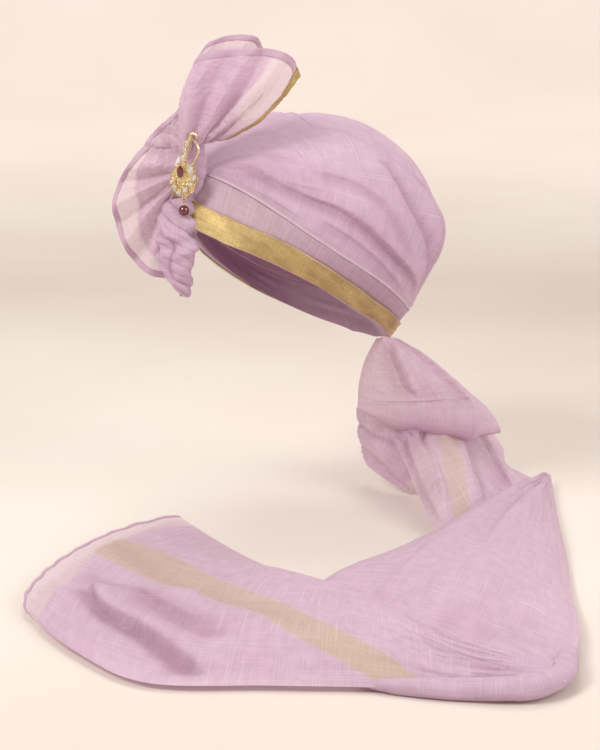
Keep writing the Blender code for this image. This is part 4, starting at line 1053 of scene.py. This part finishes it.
def stripe_mark(place, across, table, soft=0.012):
    """1 inside the woven stripe whose edges a table gives, with a thin fringe."""
    at = np.clip(place, table[0][0], table[-1][0])
    edges = spline(table, at)
    inside = smooth((across - edges[..., 0]) / soft + 0.5) * smooth((edges[..., 1] - across) / soft + 0.5)
    return inside * smooth((place - table[0][0]) / 0.02 + 0.5)


RUN_LINES = [
    ([(0.16, 0.64), (0.225, 0.74), (0.33, 0.80), (0.405, 0.895), (0.46, 0.985)], -0.0110, 0.020, 0.0048),
    ([(0.24, 0.62), (0.325, 0.70), (0.395, 0.79), (0.45, 0.86)], 0.0045, 0.022, 0.0080),
    ([(0.00, 0.30), (0.20, 0.42), (0.40, 0.58), (0.60, 0.82)], 0.0022, 0.030, 0.0100),
    ([(0.10, 0.55), (0.22, 0.60), (0.34, 0.66), (0.44, 0.78)], -0.0030, 0.020, 0.0080),
    ([(0.62, 0.22), (0.72, 0.26), (0.84, 0.34), (0.96, 0.46)], 0.0040, 0.012, 0.0036),
    ([(0.76, 0.52), (0.84, 0.60), (0.90, 0.68), (0.98, 0.78)], 0.0046, 0.010, 0.0034),
    ([(0.86, 0.84), (0.91, 0.86), (0.95, 0.88), (1.0, 0.92)], 0.0030, 0.008, 0.0030),
]
PANEL_LINES = [
    ([(1.02, 0.50), (0.985, 0.62), (0.965, 0.74), (0.93, 0.86)], -0.0050, 0.024, 0.0120),
    ([(0.06, 0.60), (0.25, 0.52), (0.50, 0.50), (0.70, 0.52)], 0.0030, 0.034, 0.0200),
]
FALL_LINES = [
    ([(0.03, 0.36), (0.20, 0.30), (0.45, 0.30), (0.66, 0.36)], 0.0070, 0.020, 0.0080),
    ([(0.04, 0.62), (0.25, 0.60), (0.50, 0.62), (0.80, 0.70)], -0.0045, 0.020, 0.0080),
]
BACK_LINES = [
    ([(0.05, 0.10), (0.30, 0.08), (0.60, 0.05), (0.95, 0.06)], 0.0060, 0.012, 0.0050),
    ([(0.02, 0.32), (0.20, 0.25), (0.50, 0.16), (0.90, 0.08)], 0.0060, 0.012, 0.0050),
    ([(0.02, 0.62), (0.25, 0.60), (0.60, 0.50), (0.95, 0.42)], -0.0060, 0.016, 0.0050),
    ([(0.05, 0.85), (0.35, 0.80), (0.70, 0.74), (0.98, 0.70)], 0.0070, 0.016, 0.0060),
]


def wrinkled(place, across, seed, amount):
    """Small wrinkles and a slow wave for a tail piece."""
    bent = across + 0.04 * ripple(place, across, seed, 5, 4)
    lift = 0.0020 * ripple(place, bent, seed + 1, 6, 6)
    lift += 0.0010 * ripple(place, bent, seed + 2, 9, 26)
    lift += 0.0005 * ripple(place, bent, seed + 3, 34, 48)
    return lift * amount


def build_run(material, thread):
    length, width = 300, 220
    grid, rise, place, across = tail_grid(RUN, RUN_FOLDS, length, width, END_BOW)
    grid[..., 2] += rise
    points = tail_frame(grid)
    lift, valley = drawn_folds(place, across, RUN_LINES, (0.36, 0.30))
    lift = lift + wrinkled(place, across, 100, 0.7)
    edge = inset(across, 0.05) * smooth(0.25 + place / 0.08) * smooth((1 - place) / 0.12)
    out = facing(points, UP)
    points = points + out * (lift * edge)[..., None]
    scallop = 0.0012 * np.sin(across * 60) * np.exp(-place / 0.03)
    points = points + unit(points[:1] - points[12:13]) * scallop[..., None]
    keep_above(points)
    sheer = 0.95 * smooth((1.0 - place / 0.085 - 0.2 * np.sin(across * 7)) / 0.05 + 0.5)
    border = smooth((across - 0.02) / 0.01) * smooth((0.16 - across) / 0.06) * smooth((place - 0.15) / 0.2)
    sheer = np.maximum(sheer, 0.25 * border)
    stripe = stripe_mark(place, across, RUN_STRIPE)
    shade = 0.60 * valley + 0.26 * bell((place - 0.34) / 0.10, (across - 0.71 - 0.5 * (place - 0.34)) / 0.06)
    piece = cloth("front_run_cloth", points, material, (0.42, 0.27), sheer=sheer, stripe=stripe, shade=shade)
    own(piece, "front_run")
    inward = points[9] - points[0]
    hem = own(strip("front_run_hem", points[0], inward, out[0], HEM_WIDE, 0.0016, material, 7, 1.0), None)
    line = points[0] + unit(inward) * HEM_WIDE * 0.88 + out[0] * 0.0007
    sewn = own(stitches("front_run_stitches", line, out[0], thread), None)


def build_panel(material):
    length, width = 260, 220
    grid, rise, place, across = tail_grid(PANEL, PANEL_FOLDS, length, width)
    grid[..., 2] += rise
    points = tail_frame(grid) + UP * (PANEL_RAISED * smooth((place - 0.6) / 0.4))[..., None]
    lift, valley = drawn_folds(place, across, PANEL_LINES, (0.40, 0.28))
    lift = lift + wrinkled(place, across, 120, 0.7)
    edge = inset(across, 0.04)
    out = facing(points, UP)
    points = points + out * (lift * edge)[..., None]
    keep_above(points)
    piece = cloth("tail_panel_cloth", points, material, (0.42, 0.25), shade=0.16 * valley)
    own(piece, "tail_panel")
    corner = rolled("corner_fold", CORNER_FOLD, 0.0110, 0.0086, material, 170)


def build_hung(material):
    """The fall from the nape and the layer behind it."""
    length, width = 200, 180
    grid, rise, place, across = tail_grid(FALL, FALL_FOLDS, length, width)
    out = facing(grid, UP)
    points = tail_frame(grid + out * rise[..., None])
    face = facing(points, -AWAY)
    lift, valley = drawn_folds(place, across, FALL_LINES, (0.16, 0.14))
    lift = lift + wrinkled(place, across, 140, 0.5)
    gather = bell(place / 0.16) * 0.0022 * ripple(across, place, 145, 16, 2)
    edge = inset(across, 0.03)
    points = points + face * ((lift + gather) * edge)[..., None]
    sheer = 0.10 + 0.30 * smooth((0.28 - across) / 0.06) * smooth(place / 0.05)
    shade = 0.30 * valley + 0.14 * smooth((0.26 - across) / 0.05) * smooth((0.85 - place) / 0.1)
    fall = cloth("tail_fall_cloth", points, material, (0.17, 0.16), sheer=sheer, shade=shade)
    own(fall, "tail_fall")
    inward = points[-7] - points[-1]
    hem = own(strip("tail_fall_hem", points[-1], inward, face[-1], 0.0048, 0.0014, material, 8, 0.9), None)

    grid, rise, place, across = tail_grid(BACK, BACK_FOLDS, length, width)
    out = facing(grid, UP)
    points = tail_frame(grid + out * rise[..., None])
    points = points + UP * (BACK_RAISED * smooth((place - 0.45) / 0.4))[..., None]
    points = points - AWAY * (BACK_FORWARD * smooth(1.1 - place / 0.5))[..., None]
    face = facing(points, -AWAY)
    lift, valley = drawn_folds(place, across, BACK_LINES, (0.26, 0.12))
    lift = lift + wrinkled(place, across, 160, 0.5)
    edge = inset(across, 0.03)
    points = points + face * (lift * edge)[..., None]
    keep_above(points)
    stripe = 0.7 * stripe_mark(place, across, BACK_STRIPE, 0.03) * smooth(place / 0.25)
    sheer = 0.15 + 0.25 * smooth((0.3 - across) / 0.2)
    back = cloth("tail_back_cloth", points, material, (0.26, 0.14), sheer=sheer, stripe=stripe, shade=0.32 * valley)
    own(back, "tail_back")
    inner_folds(material)


# A rolled fold below the laid end's corner: right, away, up of its middle, shares
CORNER_FOLD = [
    (0.40, -4.36, 0.05), (0.80, -4.46, 0.055), (1.16, -4.52, 0.065), (1.46, -4.56, 0.085), (1.66, -4.53, 0.10),
    (1.83, -4.36, 0.11), (1.93, -4.02, 0.10), (1.99, -3.60, 0.06),
]
# Folds of the gathered cloth beside the back layer, from the top down: right, away, up, shares
INNER_FOLDS = [
    [(0.57, 0.74, 0.82), (0.66, 0.52, 0.84), (0.82, 0.46, 0.84), (0.98, 0.44, 0.80), (1.14, 0.42, 0.72)],
    [(0.56, 0.70, 0.65), (0.66, 0.46, 0.67), (0.82, 0.40, 0.66), (0.97, 0.36, 0.60), (1.11, 0.32, 0.48)],
    [(0.57, 0.67, 0.50), (0.67, 0.44, 0.51), (0.81, 0.37, 0.48), (0.95, 0.31, 0.38), (1.07, 0.27, 0.24)],
    [(0.60, 0.66, 0.34), (0.69, 0.43, 0.34), (0.80, 0.35, 0.30), (0.92, 0.28, 0.20), (1.04, 0.22, 0.10)],
    [(0.66, 0.68, 0.18), (0.72, 0.50, 0.16), (0.81, 0.42, 0.12), (0.91, 0.34, 0.07), (1.02, 0.26, 0.045)],
]


def rolled(name, rows, wide, tall, material, seed):
    """A soft rolled fold along a table of middles; it thins out at both ends."""
    path, at = resample(tail_frame(spline(evenly(rows), np.linspace(0, 1, 200))), 0.0022)
    run = unit(np.gradient(path, axis=0))
    side = unit(np.cross(run, UP))
    up = np.cross(side, run)
    t = at / at[-1]
    a = angles(40)
    u, v = np.meshgrid(t, a / (2 * math.pi), indexing="ij")
    swell = (0.10 + 0.90 * np.sin(math.pi * np.clip(t, 0, 1)) ** 0.5)[:, None]
    crease = 1 + 0.08 * ripple(u, v, seed, 7, 5) + 0.04 * ripple(u, v, seed + 1, 24, 6)
    x, y = wide * swell * np.cos(a) * crease, tall * swell * np.sin(a) * crease
    grid = path[:, None] + x[..., None] * side[:, None] + y[..., None] * up[:, None]
    keep_above(grid, 0.0004)
    faces, uv = tube(*u.shape), (at[:, None], wide * a)
    shade = 0.30 * smooth(-np.sin(a) * 1.2)
    return own(link_mesh(name, grid, faces, material, uv, sheer=0.05, shade=shade), None)


def inner_folds(material):
    """The gathered cloth between the fall and the table, in a few uneven folds."""
    length, width = 110, 130
    lines = [spline(evenly(rows), np.linspace(0, 1, length)) for rows in INNER_FOLDS]
    down = spline(evenly([line.reshape(-1) for line in lines]), np.linspace(0, 1, width))
    base = tail_frame(down.reshape(width, length, 3).transpose(1, 0, 2))
    place, across = square(length, width)
    phase = 2.7 * across + 0.22 * ripple(place, across, 186, 3, 3) - 0.45 * place
    folds = np.abs(np.sin(math.pi * phase)) ** 0.75
    lift = 0.0050 * (folds - 0.5) * (0.75 + 0.25 * np.sin(5 * place)) + wrinkled(place, across, 187, 0.5)
    edge = inset(across, 0.06)
    points = base + facing(base, -AWAY) * (lift * edge)[..., None]
    keep_above(points)
    shade = 0.10 + 0.35 * (1 - folds) ** 2
    piece = cloth("tail_inner_folds", points, material, (0.07, 0.08), sheer=0.10 * folds, shade=shade)
    return own(piece, None)


# The brooch
def brooch_frame(points):
    """Turns the brooch's own plane (across, up, fore), in metres, into the turban's frame."""
    c, s = math.cos(BROOCH_YAW), math.sin(BROOCH_YAW)
    across, up, fore = np.moveaxis(np.asarray(points, float), -1, 0)
    x = BROOCH_AT[0] + c * across + s * fore
    y = BROOCH_AT[1] + s * across - c * fore
    return np.stack([x, y, BROOCH_AT[2] + up], axis=-1) + BROOCH_BACK * BROOCH_IN


STONES = {
    "ruby_drop": (0.00, -0.10, 0.30, 0.54), "kundan_leaf": (0.93, 0.06, 0.27, 0.35),
    "kundan_side_1": (1.20, -0.64, 0.19, 0.19), "kundan_side_2": (0.94, -1.16, 0.19, 0.19),
    "kundan_foot_1": (0.44, -1.64, 0.21, 0.21), "kundan_foot_2": (-0.12, -1.86, 0.20, 0.20),
    "kundan_side_3": (-0.54, -1.46, 0.19, 0.19), "kundan_side_4": (-0.76, -0.94, 0.18, 0.18),
    "kundan_stem_1": (0.26, 1.02, 0.21, 0.26), "kundan_stem_2": (0.47, 1.70, 0.18, 0.23),
    "kundan_stem_3": (0.70, 2.32, 0.15, 0.20),
}


def ball_mesh(name, spots, material):
    """Small balls joined as one mesh; each spot is a place with a radius."""
    ball = bmesh.new()
    bmesh.ops.create_icosphere(ball, subdivisions=2, radius=1.0)
    base = np.array([v.co[:] for v in ball.verts])
    sides = [[v.index for v in f.verts] for f in ball.faces]
    ball.free()
    return link_mesh(name, *joined((place + base * radius, sides) for place, radius in spots), material)


def build_granules(gold):
    """Granules round every seat and along the plate's scalloped edge."""
    spots = []
    for across, up, wide, tall in STONES.values():
        count = int(18 + 40 * tall)
        for a in angles(count):
            point = 1 - 0.42 * max(math.sin(a), 0) ** 3 * (tall > 1.5 * wide)
            x = (across + (wide + 0.125) * math.cos(a) * point) * BROOCH
            y = (up + (tall + 0.125) * math.sin(a)) * BROOCH
            spots.append((brooch_frame([x, y, 0.0019]), 0.00034))
    for a in angles(72):
        scallop = 1 + 0.05 * math.cos(9 * a)
        tall = 1.30 if math.sin(a) > 0 else 1.46
        x = (0.20 + 1.16 * scallop * math.cos(a) * 0.96) * BROOCH
        y = (-0.76 + tall * scallop * math.sin(a) * 0.96) * BROOCH
        spots.append((brooch_frame([x, y, 0.0011]), 0.00044))
    for ring, size in ((0.47, 0.00026), (0.62, 0.00038)):
        for a in angles(34):
            x = ring * math.cos(a) * BROOCH
            y = (-0.12 + (ring + 0.22) * math.sin(a)) * BROOCH
            spots.append((brooch_frame([x, y, 0.0014]), size))
    own(ball_mesh("brooch_granules", spots, gold), None)


def build_prongs(gold):
    """Four gold claws over the edge of each stone."""
    spots = []
    for across, up, wide, tall in STONES.values():
        for a in np.radians([45, 135, 225, 315]):
            x = (across + wide * 0.98 * math.cos(a)) * BROOCH
            y = (up + tall * 0.98 * math.sin(a)) * BROOCH
            spots.append((brooch_frame([x, y, 0.0031]), 0.00034))
    own(ball_mesh("brooch_claws", spots, gold), None)


def build_filigree(gold):
    """Curled wires on the plate between the seats."""
    made = []
    curls = [
        (0.62, -0.45, 0.24, 1), (0.55, -0.95, 0.24, -1), (0.16, -1.30, 0.22, 1), (-0.34, -0.98, 0.20, -1),
        (-0.42, -0.42, 0.20, 1), (0.42, 0.42, 0.20, -1), (-0.22, 0.46, 0.16, 1),
    ]
    for across, up, size, hand in curls:
        t = np.linspace(0, 1, 60)
        a = hand * t * 3.4 * math.pi
        r = size * (1 - 0.78 * t)
        x, y = (across + r * np.cos(a)) * BROOCH, (up + r * np.sin(a)) * BROOCH
        line = brooch_frame(np.stack([x, y, np.full_like(x, 0.0013)], axis=-1))
        made.append(wire(line, 0.00022))
    own(link_mesh("brooch_filigree", *joined(made), gold), None)


def wire(path, radius, sides=7):
    """The points and faces of a round wire that lies flat on the brooch."""
    run = unit(np.gradient(path, axis=0))
    side = unit(np.cross(run, BROOCH_BACK))
    up = np.cross(side, run)
    a = angles(sides)[None, :, None]
    grid = path[:, None] + radius * (np.cos(a) * side[:, None] + np.sin(a) * up[:, None])
    return grid.reshape(-1, 3), tube(len(path), sides)


def build_bead(red):
    """The round bead below the brooch, turned smooth."""
    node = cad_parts["ruby_bead"]
    corners = np.array([node.matrix_world @ Vector(corner) for corner in node.bound_box])
    middle, half = (corners.max(axis=0) + corners.min(axis=0)) / 2, np.ptp(corners, axis=0) / 2
    up, turn = np.meshgrid(np.linspace(-1, 1, 25) * math.pi / 2, angles(40), indexing="ij")
    across, up = half[0] * np.maximum(np.cos(up), 0.12), half[2] * np.sin(up)
    points = middle + np.stack([across * np.cos(turn), across * np.sin(turn), up], axis=-1)
    own(link_mesh("ruby_bead_turned", points, tube(25, 40), red), "ruby_bead")


def build_brooch(gold):
    red = stone_material("ruby", (0.06, 0.0, 0.002), (0.17, 0.001, 0.007), 0.0)
    clear = stone_material("kundan", (0.50, 0.50, 0.47), (0.93, 0.93, 0.90), 0.3)
    for name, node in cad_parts.items():
        if name.startswith("ruby"):
            finish = red
        elif name.startswith("kundan"):
            finish = clear
        elif name in ("brooch_body", "drop_link", "bead_pin"):
            finish = gold
        else:
            continue
        for place in node.material_slots:
            place.material = finish
    build_bead(red)
    build_granules(gold)
    build_prongs(gold)
    build_filigree(gold)


# The floor, the light and the camera
def build_stage():
    """A pale floor that curves up into its backdrop, square to the camera's view; painted shade darkens its bend,
    more towards the right, and its front, and a painted glow brightens it with distance.
    """
    nodes = Nodes("studio_paper")
    solid = nodes.place("Object")
    cloud = nodes.noise(solid, 1.6, detail=3.0)
    grain = nodes.noise(solid, 260.0, detail=2.0)
    tone = nodes.mix(nodes.ramp(cloud, 0.3, 0.7), (0.745, 0.672, 0.610), (0.815, 0.758, 0.700))
    tone = nodes.mix(nodes.ramp(grain, 0.3, 0.7, 0.04, 0.0), tone, (0.5, 0.4, 0.3))
    far = nodes.add("VectorMath", {"operation": "DOT_PRODUCT"}, i0=solid, i1=tuple(AWAY)).outputs["Value"]
    right = nodes.add("VectorMath", {"operation": "DOT_PRODUCT"}, i0=solid, i1=tuple(OUTWARD)).outputs["Value"]
    # painted shade: the floor's curve into the backdrop is darkened, more so towards the right
    bend = nodes.math("ABSOLUTE", nodes.math("DIVIDE", nodes.math("SUBTRACT", far, 0.95), 0.75))
    bend = nodes.math("SUBTRACT", 1.0, bend, clamp=True)
    painted_bend_shade = nodes.math("MULTIPLY", nodes.ramp(bend, 0.0, 1.0), nodes.ramp(right, -0.7, 0.6, 0.10, 0.24))
    tone = nodes.mix(painted_bend_shade, tone, (0.40, 0.30, 0.22))
    # painted shade: the front of the floor, nearest the camera, is darkened
    tone = nodes.mix(nodes.ramp(far, -0.75, -0.15, 0.42, 0.0), tone, (0.50, 0.42, 0.36))
    paper = nodes.add("BsdfPrincipled", Base_Color=tone, Roughness=0.85)
    # painted light: the paper glows, more the farther it lies from the middle of the scene
    reach = nodes.add("VectorMath", {"operation": "LENGTH"}, i0=solid).outputs["Value"]
    nodes.put(paper.inputs["Emission Strength"], nodes.ramp(reach, 1.20, 2.90, 0.0, 0.40))
    paper.inputs["Emission Color"].default_value = (1.0, 0.86, 0.79, 1.0)
    material = nodes.done(paper)
    profile = [(-FLOOR_HALF, 0.0), (FLOOR_FLAT, 0.0)]
    for a in np.linspace(0, math.pi / 2, 24):
        profile.append((FLOOR_FLAT + FLOOR_CURVE * math.sin(a), FLOOR_CURVE - FLOOR_CURVE * math.cos(a)))
    profile.append((FLOOR_HALF, 4.0))
    points = []
    for away, up in profile:
        for right in (-FLOOR_HALF, FLOOR_HALF):
            points.append(OUTWARD * right + AWAY * away + UP * (up - TABLE_DROP - 0.0003))
    faces = [[2 * i, 2 * i + 1, 2 * i + 3, 2 * i + 2] for i in range(len(profile) - 1)]
    link_mesh("studio_floor", points, faces, material)


def lamp(name, at, aim, size, power, colour):
    data = bpy.data.lights.new(name, "AREA")
    data.shape = "DISK"
    data.size, data.energy, data.color = size, power, colour
    made = bpy.data.objects.new(name, data)
    made.location = at
    made.rotation_euler = (Vector(aim) - Vector(at)).to_track_quat("-Z", "Y").to_euler()
    bpy.context.scene.collection.objects.link(made)


def build_light():
    world = bpy.data.worlds.new("room") if bpy.context.scene.world is None else bpy.context.scene.world
    bpy.context.scene.world = world
    world.use_nodes = True
    back = world.node_tree.nodes["Background"]
    back.inputs["Color"].default_value = (1.0, 0.94, 0.89, 1.0)
    back.inputs["Strength"].default_value = 0.53
    left, fore = -OUTWARD, -AWAY
    lamp("key", tuple(left * 1.3 + fore * 1.3 + UP * 1.5), (0, 0, 0), 0.9, 32.0, (1.0, 0.97, 0.95))
    lamp("fill", tuple(-left * 1.6 + fore * 0.9 + UP * 0.9), (0, 0, 0), 1.5, 19.0, (1.0, 0.96, 0.94))
    lamp("top", tuple(AWAY * 0.6 + UP * 1.9), (0, 0, -0.1), 1.4, 14.0, (1.0, 0.97, 0.94))


def build_camera():
    data = bpy.data.cameras.new("camera")
    camera = bpy.data.objects.new("camera", data)
    bpy.context.scene.collection.objects.link(camera)
    c, s = math.cos(LOOK_DOWN), math.sin(LOOK_DOWN)
    away = Vector((math.sin(VIEW_TURN) * c, -math.cos(VIEW_TURN) * c, s))
    camera.location = LOOK_AT + away * LOOK_FROM
    camera.rotation_euler = away.to_track_quat("Z", "Y").to_euler()
    data.sensor_width = SENSOR
    data.lens = LENS_PX / SHOT_TALL * SENSOR
    data.clip_end = 20.0
    bpy.context.scene.camera = camera
    bpy.context.scene.view_settings.view_transform = "Standard"


def build_turban():
    full = voile("lilac_cotton_voile", thin=0.0, see=0.10)
    light = voile("lilac_sheer_voile", thin=0.06, see=0.34)
    loose = voile("lilac_tail_voile", thin=0.02, see=0.26)
    thread, gold = thread_material(), gold_material()
    woven = zari("gold_woven_cloth")
    relief = build_crown(full, voile("lilac_selvedge_voile", base=(0.80, 0.62, 0.70), see=0.0))
    build_band(woven, thread, *build_brim(full, relief))
    build_knot(full)
    build_fans(light, thread, woven)
    build_twist(full)
    build_run(loose, thread)
    build_panel(loose)
    build_hung(loose)
    build_brooch(gold)


build_turban()
build_stage()
build_light()
build_camera()
